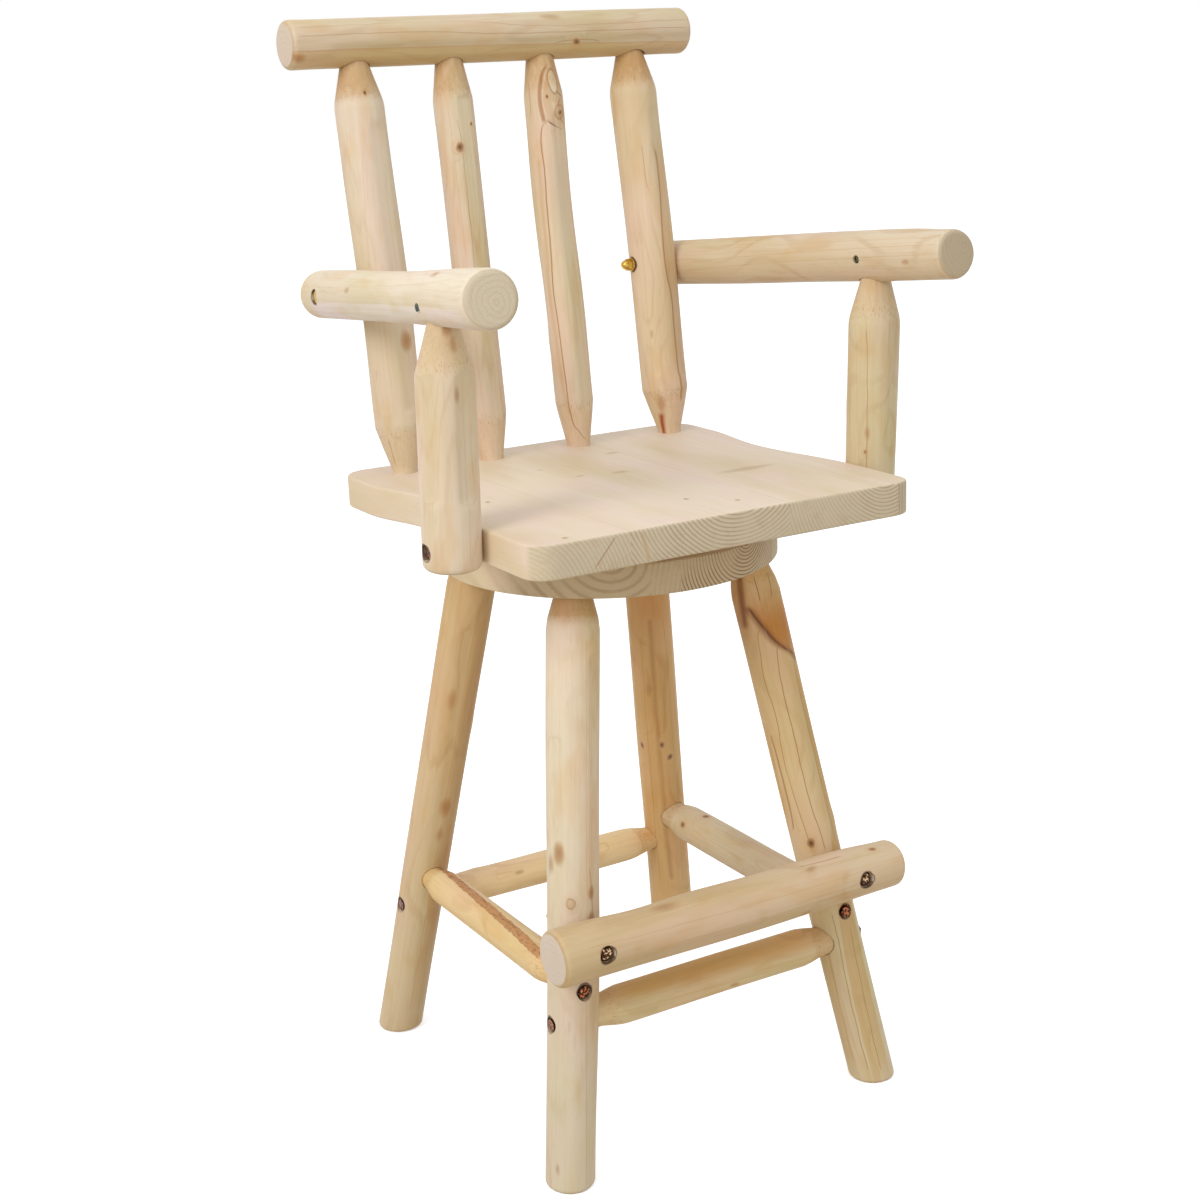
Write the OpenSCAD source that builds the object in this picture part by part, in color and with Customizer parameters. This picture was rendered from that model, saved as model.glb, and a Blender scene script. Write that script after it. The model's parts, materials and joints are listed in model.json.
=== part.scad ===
// Swivel bar stool in peeled logs: a splayed four-leg base with a footrest, a ball-bearing
// swivel, and a waisted plank seat that carries a spindle back and two log arms.
// Millimetres, +Z up. The origin is on the floor, on the swivel axis. The front faces -Y.

/* [Seat board] */
// Height of the seat's top above the floor
seat_h = 757; // [720:1:800]
// Thickness of the seat board
seat_t = 38; // [34:1:46]
// Distance from the swivel axis to the seat's front edge
seat_front = 271; // [255:1:290]
// Distance from the swivel axis to the seat's back edge
seat_back = 214; // [205:1:225]
// Width of the seat in front
seat_front_w = 496; // [480:2:520]
// Width of the seat at its waist
seat_waist_w = 458; // [430:2:470]
// Reach of the seat's back lobe to the left of the middle
seat_lobe_left = 251; // [236:1:254]
// Reach of the seat's back lobe to the right of the middle
seat_lobe_right = 242; // [236:1:254]
// Distance in front of the swivel axis where the sides start to draw in
seat_shoulder_y = 155; // [140:1:180]
// Distance behind the swivel axis of the narrowest place
seat_waist_y = 15; // [0:1:40]
// Distance behind the swivel axis where the back lobe is full again
seat_lobe_y = 135; // [110:1:145]
// Radius of the front corners
front_corner_r = 28; // [15:1:40]
// Radius of the back corners
back_corner_r = 32; // [25:1:50]

/* [Spindle back] */
// Distance behind the swivel axis where the spindles enter the seat's top
spindle_y = 167; // [160:1:175]
// Lean of the spindles and so of the whole back, in degrees
spindle_lean = 6.8; // [3:0.1:10]
// Distance from the middle to an outer spindle
spindle_outer_x = 189.5; // [180:0.5:195]
// Distance from the middle to the inner spindle on the left
spindle_left_x = 66; // [50:0.5:75]
// Distance from the middle to the inner spindle on the right
spindle_right_x = 58.5; // [50:0.5:75]
// Diameter of the outer spindles
spindle_outer_d = 59; // [54:1:64]
// Diameter of the inner spindles
spindle_inner_d = 48; // [44:1:56]
// Length of the taper at each end of a spindle
spindle_taper = 50; // [40:1:65]
// Diameter of the spindle's tenon in the seat
seat_tenon_d = 30; // [26:1:34]
// Depth of the spindle's tenon in the seat
seat_tenon_l = 28; // [22:1:29]
// Diameter of the spindle's tenon in the top rail
rail_tenon_d = 32; // [28:1:36]
// Height of the top rail's axis above the seat
rail_rise = 502; // [440:1:560]
// Length of the top rail
rail_l = 543; // [500:1:600]
// Diameter of the top rail
rail_d = 58; // [56:1:68]
// Rounding of the top rail's ends
rail_ease = 7; // [2:0.5:12]

/* [Arms] */
// Diameter of the arm posts
post_d = 62; // [56:1:68]
// Distance of the arm posts in front of the swivel axis
post_y = 148; // [130:1:160]
// Forward lean of the arm posts, in degrees
post_lean = 2.4; // [0:0.1:5]
// How far the posts reach below the seat board
post_drop = 3; // [0:0.5:12]
// Rounding of the posts' lower ends
post_ease = 8; // [2:0.5:10]
// Length of the taper at the top of a post
post_taper = 54; // [38:1:64]
// Diameter of the post's tenon in the arm
post_tenon_d = 32; // [28:1:38]
// Height of the arm's axis above the seat, over the post
arm_rise_front = 243.5; // [220:0.5:260]
// Height of the arm's axis above the seat, beside the spindle
arm_rise_back = 216.5; // [200:0.5:240]
// Overhang of the arm in front of the post's axis
arm_overhang_front = 129; // [105:1:145]
// Overhang of the arm behind the bolt in the spindle
arm_overhang_back = 50; // [36:1:60]
// Diameter of the arm at its front end
arm_front_d = 61; // [56:1:66]
// Diameter of the arm at its back end
arm_back_d = 57; // [54:1:62]
// Rounding of the arm's ends
arm_ease = 6; // [2:0.5:10]
// Depth of the saddle in the arm where it meets the spindle
arm_saddle = 1.5; // [0.5:0.1:3]

/* [Base disc and legs] */
// Diameter of the base disc
disc_d = 406; // [390:2:430]
// Thickness of the base disc
disc_t = 38; // [34:1:44]
// Distance from the swivel axis to a foot, sideways
foot_x = 217; // [200:1:235]
// Distance from the swivel axis to a foot, forward or back
foot_y = 230; // [215:1:245]
// Distance from the swivel axis to a leg's axis under the disc, both ways
leg_top = 118.5; // [110:0.5:122]
// Diameter of the legs
leg_d = 60; // [56:1:64]
// Length of the taper at the top of a leg
leg_taper = 42; // [34:1:55]
// Diameter of the leg's tenon in the disc
leg_tenon_d = 38; // [32:1:40]
// Depth of the leg's tenon in the disc, along the leg
leg_tenon_l = 24; // [18:1:26]
// Width of the bevel round a foot
foot_ease = 4; // [1:0.5:8]

/* [Footrest and stretchers] */
// Height of the footrest's axis above the floor
footrest_h = 286; // [277:1:317]
// Length of the footrest
footrest_l = 469; // [440:1:500]
// Diameter of the footrest at its left end
footrest_left_d = 66; // [60:1:70]
// Diameter of the footrest at its right end
footrest_right_d = 61; // [58:1:70]
// Rounding of the footrest's ends
footrest_ease = 7; // [2:0.5:12]
// Depth of the saddles in the footrest where it meets the legs
footrest_saddle = 1; // [0.5:0.1:3]
// Height of the front and back stretchers above the floor
stretcher_low_h = 183; // [167:1:187]
// Height of the side stretchers above the floor
stretcher_high_h = 223; // [220:1:231]
// Diameter of the front stretcher
stretcher_front_d = 46; // [40:1:48]
// Diameter of the back stretcher
stretcher_back_d = 43; // [40:1:48]
// Diameter of the left stretcher
stretcher_left_d = 43; // [40:1:48]
// Diameter of the right stretcher
stretcher_right_d = 48; // [40:1:50]
// Length of the bullet-shaped taper at a stretcher's ends
stretcher_taper = 26; // [20:1:40]
// How much smaller than the stretcher its nose is, in diameter
stretcher_nose_drop = 10; // [6:0.5:14]
// Depth of the stretcher's socket in the leg
socket_l = 9; // [6:0.5:11]

/* [Swivel] */
// Height of the swivel, which is the space between disc and seat
swivel_h = 24; // [22:0.5:28]
// Side of the square swivel plates
plate_w = 172; // [160:1:176]
// Radius of the plates' corners
plate_corner_r = 12; // [6:1:20]
// Thickness of the plates' steel
plate_t = 2.5; // [2:0.1:3]
// Spacing of the screws in each plate, both ways
plate_hole_w = 140; // [136:1:146]
// Radius of the circle on which the balls run
race_r = 50; // [46:0.5:52]
// Diameter of a ball
ball_d = 8; // [7:0.5:8.5]
// Number of balls
ball_count = 16; // [12:1:20]
// Thickness of the cage between the balls
cage_t = 1.2; // [0.8:0.1:1.4]
// Diameter of the rivet that keeps the plates together
rivet_d = 16; // [12:1:18]
// Diameter of the rivet's heads
rivet_head_d = 26; // [22:1:30]
// Diameter of the hole through the disc for reaching the upper plate's screws
access_d = 18; // [14:1:19]

/* [Bolts and screws] */
// Diameter of the bolts
bolt_d = 8; // [6:0.5:9]
// Width across the flats of the bolt heads
bolt_head_w = 13; // [11:0.5:14]
// Height of the bolt heads
bolt_head_t = 5.3; // [4:0.1:6]
// Diameter of the washers
washer_d = 17; // [15:0.5:18]
// Thickness of the washers
washer_t = 1.6; // [1:0.1:2]
// Depth of the recesses for the bolt heads, from the log's crown
recess_l = 10; // [8.5:0.5:12]
// How far a stretcher bolt reaches into the stretcher
stretcher_grip = 45; // [30:1:60]
// How far a post bolt reaches into the seat board
seat_grip = 50; // [35:1:60]
// How far a leg screw reaches into the leg below the disc
leg_grip = 60; // [45:1:90]
// Diameter of the domed heads of the footrest bolts
dome_head_d = 18; // [15:0.5:18.5]
// Height of the domed heads of the footrest bolts
dome_head_t = 4.5; // [3:0.1:6]
// How far outwards of the leg's middle the left footrest bolt sits
footrest_bolt_out = 8; // [0:0.5:9]
// How far above the footrest's axis the left footrest bolt sits
footrest_bolt_up = 4; // [0:0.5:6]
// Diameter of the wood screws
screw_d = 4.5; // [3.5:0.1:5]
// Diameter of the countersunk screw heads
screw_head_d = 9; // [7.5:0.1:10]
// Length of the wood screws
screw_l = 42; // [36:1:46]
// Length of the swivel plates' screws
plate_screw_l = 24; // [16:1:30]

/* [Fits] */
// Clearance round a tenon, a nose or a saddle
fit = 0.15; // [0.1:0.01:0.3]
// Clearance round a bolt or screw
bolt_fit = 0.2; // [0.1:0.01:0.4]
// Clearance between faces that are drawn together
seat_gap = 0.1; // [0.05:0.01:0.2]
// Running clearance of the balls in their races and of the plate on its rivet
run_fit = 0.06; // [0.03:0.01:0.09]

/* [Hidden] */
$fn = 64;

LOG = "#e6cda3";
BOARD = "#ead9bd";
STEEL = "#b9bcc0";
YELLOW_ZINC = "#c9a24a";
BRIGHT = "#dfe3e6";

// Radius of the rounding where a log starts to taper, and the steps that draw it
shoulder_r = 55;
bullet_r = 80;
arc_steps = 5;
// Bevel on the tip of a tenon
tip_ease = 1.5;
// How far the tapers run into the piece that they enter, or stop short of it
leg_cone_in = 5;
rail_cone_in = 8;
arm_cone_in = 8;
seat_cone_short = 3;
// How far past their axes the tenons reach in the top rail and in the arms
rail_tenon_past = 5;
arm_tenon_past = 7;
// Plain length of a stretcher's nose outside the leg, and the whole length of its bullet-shaped end
nose_out = 4;
bullet_l = stretcher_taper + nose_out + socket_l;
// Bevel on the rims of the disc
disc_ease = 2;
// How much wider than a washer or a domed head its recess is, and how deep the nuts are let in
recess_slack = 2;
recess_r = (washer_d + recess_slack) / 2;
leg_nut_in = 6;
spindle_nut_in = 1.6;
// How far the domed bolt heads lie below the footrest's crown
dome_in = 2;
// Depth to which the countersunk screws are driven, and the radius of their blunt tips
screw_sink = 1.5;
screw_tip_r = 0.6;
// How far below the axis of rail or arm the screws that lock the tenons sit
rail_screw_low = 7;
arm_screw_low = 4;
// Acorn nuts: the hexagon, the dome on it, and the blind bore
acorn_hex_t = 6.5;
acorn_r = bolt_head_w / 2 - 0.3;
acorn_bore_l = acorn_hex_t + 2.5;
// How far a bolt reaches into its acorn nut
thread_in_nut = acorn_bore_l - 1;
// Heads of the swivel plates' screws
pan_head_r = 4.6;
pan_head_t = 3;
pan_ease = 1.4;
// Length that a cutting shape runs past a face
over = 20;

// Heights, from the seat downwards
seat_under = seat_h - seat_t;
disc_top = seat_under - swivel_h;
disc_under = disc_top - disc_t;
race_h = disc_top + swivel_h / 2;

// Each leg's run from the floor to the disc's underside
leg_in_x = foot_x - leg_top;
leg_in_y = foot_y - leg_top;
leg_l = norm([leg_in_x, leg_in_y, disc_under]);
leg_tilt = acos(disc_under / leg_l);
leg_r = leg_d / 2;
leg_crown_x = leg_r / sqrt(1 - pow(leg_in_x / leg_l, 2));
leg_crown_y = leg_r / sqrt(1 - pow(leg_in_y / leg_l, 2));
leg_disc_l = disc_t / cos(leg_tilt);
leg_screw_seat = leg_l + leg_disc_l - recess_l;

function leg_x(h) = foot_x - leg_in_x * h / disc_under;
function leg_y(h) = foot_y - leg_in_y * h / disc_under;

// Half lengths of the stretchers, from the bottoms of their sockets
low_half_l = leg_x(stretcher_low_h) - leg_crown_x + socket_l;
high_half_l = leg_y(stretcher_high_h) - leg_crown_y + socket_l;

// The footrest lies against the fronts of the front legs
footrest_mid_d = (footrest_left_d + footrest_right_d) / 2;
footrest_off = (leg_d + footrest_mid_d) / 2 - footrest_saddle;
footrest_y = leg_y(footrest_h) + footrest_off / cos(atan(leg_in_y / disc_under));
footrest_nut_seat = leg_crown_y - leg_nut_in;
footrest_nut_y = leg_y(footrest_h) - footrest_nut_seat;
function footrest_bolt_x(sx) = sx * leg_x(footrest_h) - (sx < 0 ? footrest_bolt_out : 0);
function footrest_bolt_z(sx) = footrest_h + (sx < 0 ? footrest_bolt_up : 0);
function footrest_r_at(x) = (footrest_mid_d + (footrest_right_d - footrest_left_d) * x / footrest_l) / 2;

// Spindles and top rail
spindle_xs = [-spindle_outer_x, -spindle_left_x, spindle_right_x, spindle_outer_x];
spindle_l = rail_rise / cos(spindle_lean);
rail_y = spindle_y + rail_rise * tan(spindle_lean);
seat_slant_l = seat_t / cos(spindle_lean);
rail_cone_end = spindle_l - rail_d / 2 + rail_cone_in;
rail_tenon_l = spindle_l + rail_tenon_past - rail_cone_end;

// Arms: they stand on the posts and pass the outer sides of the outer spindles
post_x = seat_front_w / 2 + post_d / 2 + seat_gap;
arm_z_front = seat_h + arm_rise_front;
arm_z_back = seat_h + arm_rise_back;
arm_bolt_y = spindle_y + arm_rise_back * tan(spindle_lean);
post_top_y = post_y + (arm_rise_front + seat_t / 2) * tan(post_lean);
arm_run_y = arm_bolt_y + post_top_y;
arm_side = (spindle_outer_d + arm_back_d) / 2 - arm_saddle;
arm_yaw = atan((post_x - spindle_outer_x - arm_side) / arm_run_y);
arm_bolt_x = spindle_outer_x + arm_side / cos(arm_yaw);
arm_run = norm([post_x - arm_bolt_x, arm_run_y, arm_z_front - arm_z_back]);
arm_turn = atan2(arm_run_y, arm_bolt_x - post_x);
arm_pitch = acos((arm_z_back - arm_z_front) / arm_run);
arm_l = arm_overhang_front + arm_run + arm_overhang_back;

function arm_r(run) = (arm_front_d + (arm_back_d - arm_front_d) * (run + arm_overhang_front) / arm_l) / 2;

// Along a post, from the height of its bolt to its top in the arm
post_l = (arm_rise_front + seat_t / 2) / cos(post_lean);
post_cone_end = post_l - arm_r(0) + arm_cone_in;
post_tenon_l = post_l + arm_tenon_past - post_cone_end;
arm_head_seat = arm_bolt_x - spindle_outer_x + arm_r(arm_run) - recess_l;
arm_nut_seat = spindle_outer_d / 2 - spindle_nut_in;

// Swivel: each plate is a square flange, a raised pan and a half-round bead for the balls
ball_r = ball_d / 2;
groove_r = ball_r + run_fit;
cage_gap = 0.6;
cage_rim = 3;
cage_w = ball_d + 2 * cage_rim;
ball_pocket_gap = 0.1;
pan_gap = cage_t / 2 + cage_gap;
pan_r = race_r + groove_r + plate_t + 3;
flange_r = pan_r + 9;
web_h = pan_gap + plate_t;
rivet_head_t = 3;
rivet_slack = 0.3;
access_y = plate_hole_w / sqrt(2);

// Points on an arc of a circle
function arc(x, y, r, from, to) = [
    for (i = [0:2 * arc_steps])
        let (a = from + (to - from) * i / (2 * arc_steps))
        [x + r * cos(a), y + r * sin(a)]
];

// Smooth step from a to b as t goes from 0 to 1
function blend(a, b, t) = a + (b - a) * (1 - cos(180 * t)) / 2;

// Half outline of the seat, from the front edge round to the back edge; lobe is its reach at the back
function seat_side(lobe) = concat(
    arc(seat_front_w / 2 - front_corner_r, front_corner_r - seat_front, front_corner_r, -90, 0),
    [for (i = [0:12]) [
        blend(seat_front_w, seat_waist_w, i / 12) / 2,
        -seat_shoulder_y + (seat_waist_y + seat_shoulder_y) * i / 12
    ]],
    [for (i = [1:10]) [
        blend(seat_waist_w / 2, lobe, i / 10),
        seat_waist_y + (seat_lobe_y - seat_waist_y) * i / 10
    ]],
    arc(lobe - back_corner_r, seat_back - back_corner_r, back_corner_r, 0, 90)
);
seat_left_side = seat_side(seat_lobe_left);
seat_outline = concat(seat_side(seat_lobe_right),
    [for (i = [len(seat_left_side) - 1:-1:0]) [-seat_left_side[i][0], seat_left_side[i][1]]]);

// Profile of a tapered log end. At height 0 the taper would start if its shoulder were sharp;
// it reaches the tip's radius at height taper, and the tenon ends at taper + tenon.
function end_points(r, tip_r, taper, tenon, round_r) =
    let (half = atan((r - tip_r) / taper), reach = round_r * tan(half / 2))
    concat(
        [for (i = [0:arc_steps])
            let (a = half * i / arc_steps)
            [r - round_r * (1 - cos(a)), round_r * sin(a) - reach]],
        [[tip_r, taper], [tip_r, taper + tenon - tip_ease], [tip_r - tip_ease, taper + tenon]]
    );

// Points of a profile moved to height h, or turned upside down there
function raised(points, h) = [for (p = points) [p[0], p[1] + h]];
function hung(points, h) = [for (i = [len(points) - 1:-1:0]) [points[i][0], h - points[i][1]]];

// Solid of revolution from a profile that starts and ends off the axis
module turned(points)
    rotate_extrude()
        polygon(concat([[0, points[0][1]]], points, [[0, points[len(points) - 1][1]]]));

// Hole for a tapered end, larger by the fit all round; height 0 as in end_points
module end_hole(r, tip_r, taper, tenon)
    turned([[r + fit, 0], [tip_r + fit, taper], [tip_r + fit, taper + tenon + fit]]);

// Round bar with rounded ends, from height 0 to l
module bar(r0, r1, l, ease)
    turned(concat(
        [for (i = [0:arc_steps])
            let (a = 90 * i / arc_steps)
            [r0 - ease * (1 - sin(a)), ease * (1 - cos(a))]],
        [for (i = [0:arc_steps])
            let (a = 90 * i / arc_steps)
            [r1 - ease * (1 - cos(a)), l - ease * (1 - sin(a))]]
    ));

// Fasteners: the head is above height 0, the shank below it
module hex_bolt(l)
    union() {
        cylinder(d = bolt_head_w / cos(30), h = bolt_head_t, $fn = 6);
        translate([0, 0, -l]) cylinder(d = bolt_d, h = l);
    }

module lag_bolt(l)
    union() {
        cylinder(d = bolt_head_w / cos(30), h = bolt_head_t, $fn = 6);
        translate([0, 0, bolt_d - l]) cylinder(d = bolt_d, h = l - bolt_d);
        translate([0, 0, -l]) cylinder(r1 = screw_tip_r, r2 = bolt_d / 2, h = bolt_d);
    }

module dome_bolt(l)
    union() {
        turned([for (i = [0:2 * arc_steps])
            let (a = 88 * i / (2 * arc_steps))
            [dome_head_d / 2 * cos(a), dome_head_t * sin(a)]]);
        translate([0, 0, -l]) cylinder(d = bolt_d, h = l);
    }

module washer()
    difference() {
        cylinder(d = washer_d, h = washer_t);
        cylinder(r = bolt_d / 2 + bolt_fit, h = over, center = true);
    }

// Acorn nut with its seat at height 0 and a blind bore
module acorn_nut()
    difference() {
        union() {
            cylinder(d = bolt_head_w / cos(30), h = acorn_hex_t, $fn = 6);
            turned([for (i = [0:2 * arc_steps])
                let (a = 88 * i / (2 * arc_steps))
                [acorn_r * cos(a), acorn_hex_t + acorn_r * sin(a)]]);
        }
        translate([0, 0, acorn_bore_l - over]) cylinder(r = bolt_d / 2 + run_fit, h = over);
    }

// Countersunk wood screw with its flat top at height 0
module wood_screw(l, grow)
    let (head_h = (screw_head_d - screw_d) / 2)
    turned([
        [screw_head_d / 2 + grow, 0], [screw_d / 2 + grow, -head_h], [screw_d / 2 + grow, 2 * screw_d - l],
        [screw_tip_r + grow, -l - grow]
    ]);

// Pan-head screw for the swivel plates, with its seat at height 0
module pan_screw(l)
    turned([[screw_tip_r, -l], [screw_d / 2, screw_d - l], [screw_d / 2, 0], [pan_head_r, 0],
        [pan_head_r, pan_head_t - pan_ease], [pan_head_r - pan_ease, pan_head_t]]);

// Frames: what is placed in them stands on the axis named
module at_leg(sx, sy)
    translate([sx * foot_x, sy * foot_y, 0])
        rotate([0, leg_tilt, atan2(-sy * leg_in_y, -sx * leg_in_x)])
            children();

module at_spindle(x)
    translate([x, spindle_y, seat_h]) rotate([-spindle_lean, 0, 0]) children();

module at_arm(side)
    mirror([side < 0 ? 1 : 0, 0, 0])
        translate([post_x, -post_top_y, arm_z_front]) rotate([0, arm_pitch, arm_turn]) children();

// Along a post, from the height of its bolt upwards
module at_post(side)
    translate([side * post_x, -post_y, seat_h - seat_t / 2]) rotate([post_lean, 0, 0]) children();

// Along X or Y at height h, pointing outwards through a leg's axis
module leg_cross_x(sx, sy, h)
    translate([sx * leg_x(h), sy * leg_y(h), h]) rotate([0, sx * 90, 0]) children();

module leg_cross_y(sx, sy, h)
    translate([sx * leg_x(h), sy * leg_y(h), h]) rotate([-sy * 90, 0, 0]) children();

module every_leg()
    for (sx = [-1, 1], sy = [-1, 1]) {
        $sx = sx;
        $sy = sy;
        children();
    }

// Base

module base_disc() color(BOARD) difference() {
    translate([0, 0, disc_under])
        turned([[disc_d / 2 - disc_ease, 0], [disc_d / 2, disc_ease], [disc_d / 2, disc_t - disc_ease],
            [disc_d / 2 - disc_ease, disc_t]]);
    every_leg() at_leg($sx, $sy) {
        leg_end_hole();
        rotate(90) turned([[bolt_d / 2 + bolt_fit, leg_l], [bolt_d / 2 + bolt_fit, leg_screw_seat],
            [recess_r, leg_screw_seat], [recess_r, leg_screw_seat + recess_l + over]]);
    }
    plate_screws_at() translate([0, 0, disc_top - plate_screw_l])
        cylinder(r = screw_d / 2 + bolt_fit, h = plate_screw_l + over);
    translate([0, access_y, disc_under - over]) cylinder(d = access_d, h = disc_t + 2 * over);
}

module leg_end_hole()
    translate([0, 0, leg_l + leg_cone_in - leg_taper])
        end_hole(leg_r, leg_tenon_d / 2, leg_taper, leg_tenon_l - leg_cone_in);

// A leg is cut level at the floor, with a bevel round the foot
module leg(sx, sy, low_r, high_r) color(LOG) difference() {
    intersection() {
        at_leg(sx, sy) turned(concat(
            [[leg_r, -leg_d]],
            raised(end_points(leg_r, leg_tenon_d / 2, leg_taper, leg_tenon_l - leg_cone_in, shoulder_r),
                leg_l + leg_cone_in - leg_taper)
        ));
        translate([sx * foot_x, sy * foot_y, 0])
            turned([[leg_r - foot_ease, 0], [leg_r + foot_ease, 2 * foot_ease],
                [disc_d, 2 * foot_ease], [disc_d, disc_top]]);
    }
    at_leg(sx, sy) translate([0, 0, leg_l - leg_grip - seat_gap])
        cylinder(r = bolt_d / 2 + bolt_fit, h = leg_grip + leg_tenon_l + over);
    leg_cross_x(sx, sy, stretcher_low_h) leg_cross_hole(leg_crown_x, low_r);
    leg_cross_y(sx, sy, stretcher_high_h) leg_cross_hole(leg_crown_y, high_r);
    if (sy < 0) at_footrest_bolt(sx) translate([0, 0, footrest_nut_y - footrest_y]) {
        cylinder(r = bolt_d / 2 + bolt_fit, h = leg_d + over);
        translate([0, 0, -over]) cylinder(r = recess_r, h = over);
    }
}

// Recess and bolt hole from outside, and the stretcher's socket from inside
module leg_cross_hole(crown, nose_r) {
    translate([0, 0, -crown]) cylinder(r = bolt_d / 2 + bolt_fit, h = 2 * crown);
    translate([0, 0, crown - recess_l]) cylinder(r = recess_r, h = recess_l + over);
    translate([0, 0, -crown - over]) cylinder(r = nose_r + fit, h = over + socket_l + fit);
}

function nose_r(d) = (d - stretcher_nose_drop) / 2;

module leg_front_left() leg(-1, -1, nose_r(stretcher_front_d), nose_r(stretcher_left_d));
module leg_front_right() leg(1, -1, nose_r(stretcher_front_d), nose_r(stretcher_right_d));
module leg_back_left() leg(-1, 1, nose_r(stretcher_back_d), nose_r(stretcher_left_d));
module leg_back_right() leg(1, 1, nose_r(stretcher_back_d), nose_r(stretcher_right_d));

module leg_screws() color(STEEL) every_leg()
    at_leg($sx, $sy) translate([0, 0, leg_screw_seat + seat_gap])
        lag_bolt(leg_screw_seat + leg_grip - leg_l);

// A stretcher along Z, centred, with bullet-shaped ends that seat in the legs' sockets
module stretcher(d, half_l) color(LOG) difference() {
    turned(concat(
        hung(bullet_end(d), bullet_l - half_l),
        raised(bullet_end(d), half_l - bullet_l)
    ));
    for (end = [-1, 1])
        translate([0, 0, end * (half_l - stretcher_grip / 2)])
            cylinder(r = bolt_d / 2 + bolt_fit, h = stretcher_grip + 2 * seat_gap, center = true);
}
function bullet_end(d) = end_points(d / 2, nose_r(d), stretcher_taper, nose_out + socket_l, bullet_r);

module stretcher_front()
    translate([0, -leg_y(stretcher_low_h), stretcher_low_h]) rotate([0, 90, 0])
        stretcher(stretcher_front_d, low_half_l);

module stretcher_back()
    translate([0, leg_y(stretcher_low_h), stretcher_low_h]) rotate([0, 90, 0])
        stretcher(stretcher_back_d, low_half_l);

module stretcher_left()
    translate([-leg_x(stretcher_high_h), 0, stretcher_high_h]) rotate([90, 0, 0])
        stretcher(stretcher_left_d, high_half_l);

module stretcher_right()
    translate([leg_x(stretcher_high_h), 0, stretcher_high_h]) rotate([90, 0, 0])
        stretcher(stretcher_right_d, high_half_l);

// Each leg has one bolt into a low stretcher and one into a high one
module stretcher_bolts() color(STEEL) every_leg() {
    leg_cross_x($sx, $sy, stretcher_low_h) stretcher_bolt(leg_crown_x);
    leg_cross_y($sx, $sy, stretcher_high_h) stretcher_bolt(leg_crown_y);
}

module stretcher_bolt(crown)
    translate([0, 0, crown - recess_l + washer_t + 2 * seat_gap])
        hex_bolt(2 * crown - recess_l - socket_l + washer_t + stretcher_grip);

module stretcher_washers() color(STEEL) every_leg() {
    leg_cross_x($sx, $sy, stretcher_low_h)
        translate([0, 0, leg_crown_x - recess_l + seat_gap]) washer();
    leg_cross_y($sx, $sy, stretcher_high_h)
        translate([0, 0, leg_crown_y - recess_l + seat_gap]) washer();
}

// The footrest is a log that thins from left to right, saddled on the legs
module footrest_rail() color(LOG) difference() {
    translate([-footrest_l / 2, -footrest_y, footrest_h]) rotate([0, 90, 0])
        bar(footrest_left_d / 2, footrest_right_d / 2, footrest_l, footrest_ease);
    for (sx = [-1, 1]) {
        at_leg(sx, -1) cylinder(r = leg_r + fit, h = leg_l);
        at_footrest_bolt(sx) {
            translate([0, 0, -footrest_mid_d]) cylinder(r = bolt_d / 2 + bolt_fit, h = 2 * footrest_mid_d);
            translate([0, 0, footrest_head_seat(sx)])
                cylinder(d = dome_head_d + recess_slack, h = footrest_mid_d);
        }
    }
}

// Along the footrest's bolt, pointing to the front
module at_footrest_bolt(sx)
    translate([footrest_bolt_x(sx), -footrest_y, footrest_bolt_z(sx)]) rotate([90, 0, 0]) children();

function footrest_head_seat(sx) = footrest_r_at(footrest_bolt_x(sx)) - dome_head_t - dome_in;

module footrest_bolts() color(STEEL)
    for (sx = [-1, 1])
        at_footrest_bolt(sx) translate([0, 0, footrest_head_seat(sx) + seat_gap])
            dome_bolt(footrest_head_seat(sx) + footrest_y - footrest_nut_y + washer_t + thread_in_nut);

module footrest_washers() color(STEEL)
    for (sx = [-1, 1])
        at_footrest_bolt(sx) translate([0, 0, footrest_nut_y - footrest_y - washer_t - seat_gap]) washer();

module footrest_nuts() color(YELLOW_ZINC)
    for (sx = [-1, 1])
        at_footrest_bolt(sx) translate([0, 0, footrest_nut_y - footrest_y - washer_t - 2 * seat_gap])
            rotate([180, 0, 0]) acorn_nut();

// Swivel

module plate_screws_at()
    for (sx = [-1, 1], sy = [-1, 1])
        translate([sx, sy, 0] * plate_hole_w / 2) children();

// Lower plate with the middle of the race at height 0; the upper one is its mirror image
module swivel_plate(hole_r)
    difference() {
        union() {
            rotate_extrude() difference() {
                union() {
                    translate([0, -web_h]) square([pan_r, plate_t]);
                    translate([race_r, 0]) circle(r = groove_r + plate_t);
                    polygon([
                        [pan_r - plate_t, -pan_gap], [pan_r, -pan_gap], [flange_r, plate_t - swivel_h / 2],
                        [flange_r + plate_t, plate_t - swivel_h / 2], [flange_r + plate_t, -swivel_h / 2],
                        [flange_r - plate_t / 2, -swivel_h / 2], [pan_r - plate_t, -web_h]
                    ]);
                }
                translate([race_r, 0]) circle(r = groove_r);
                translate([0, -pan_gap]) square([2 * race_r, swivel_h]);
                square([2 * hole_r, 2 * swivel_h], center = true);
            }
            translate([0, 0, -swivel_h / 2]) linear_extrude(plate_t) difference() {
                plate_outline();
                circle(r = flange_r + plate_t / 2);
            }
        }
        plate_screws_at() translate([0, 0, -swivel_h]) cylinder(r = screw_d / 2 + bolt_fit, h = swivel_h);
    }

module plate_outline()
    union() {
        square([plate_w, plate_w - 2 * plate_corner_r], center = true);
        square([plate_w - 2 * plate_corner_r, plate_w], center = true);
        for (sx = [-1, 1], sy = [-1, 1])
            translate([sx, sy] * (plate_w / 2 - plate_corner_r)) circle(r = plate_corner_r);
    }

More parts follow.
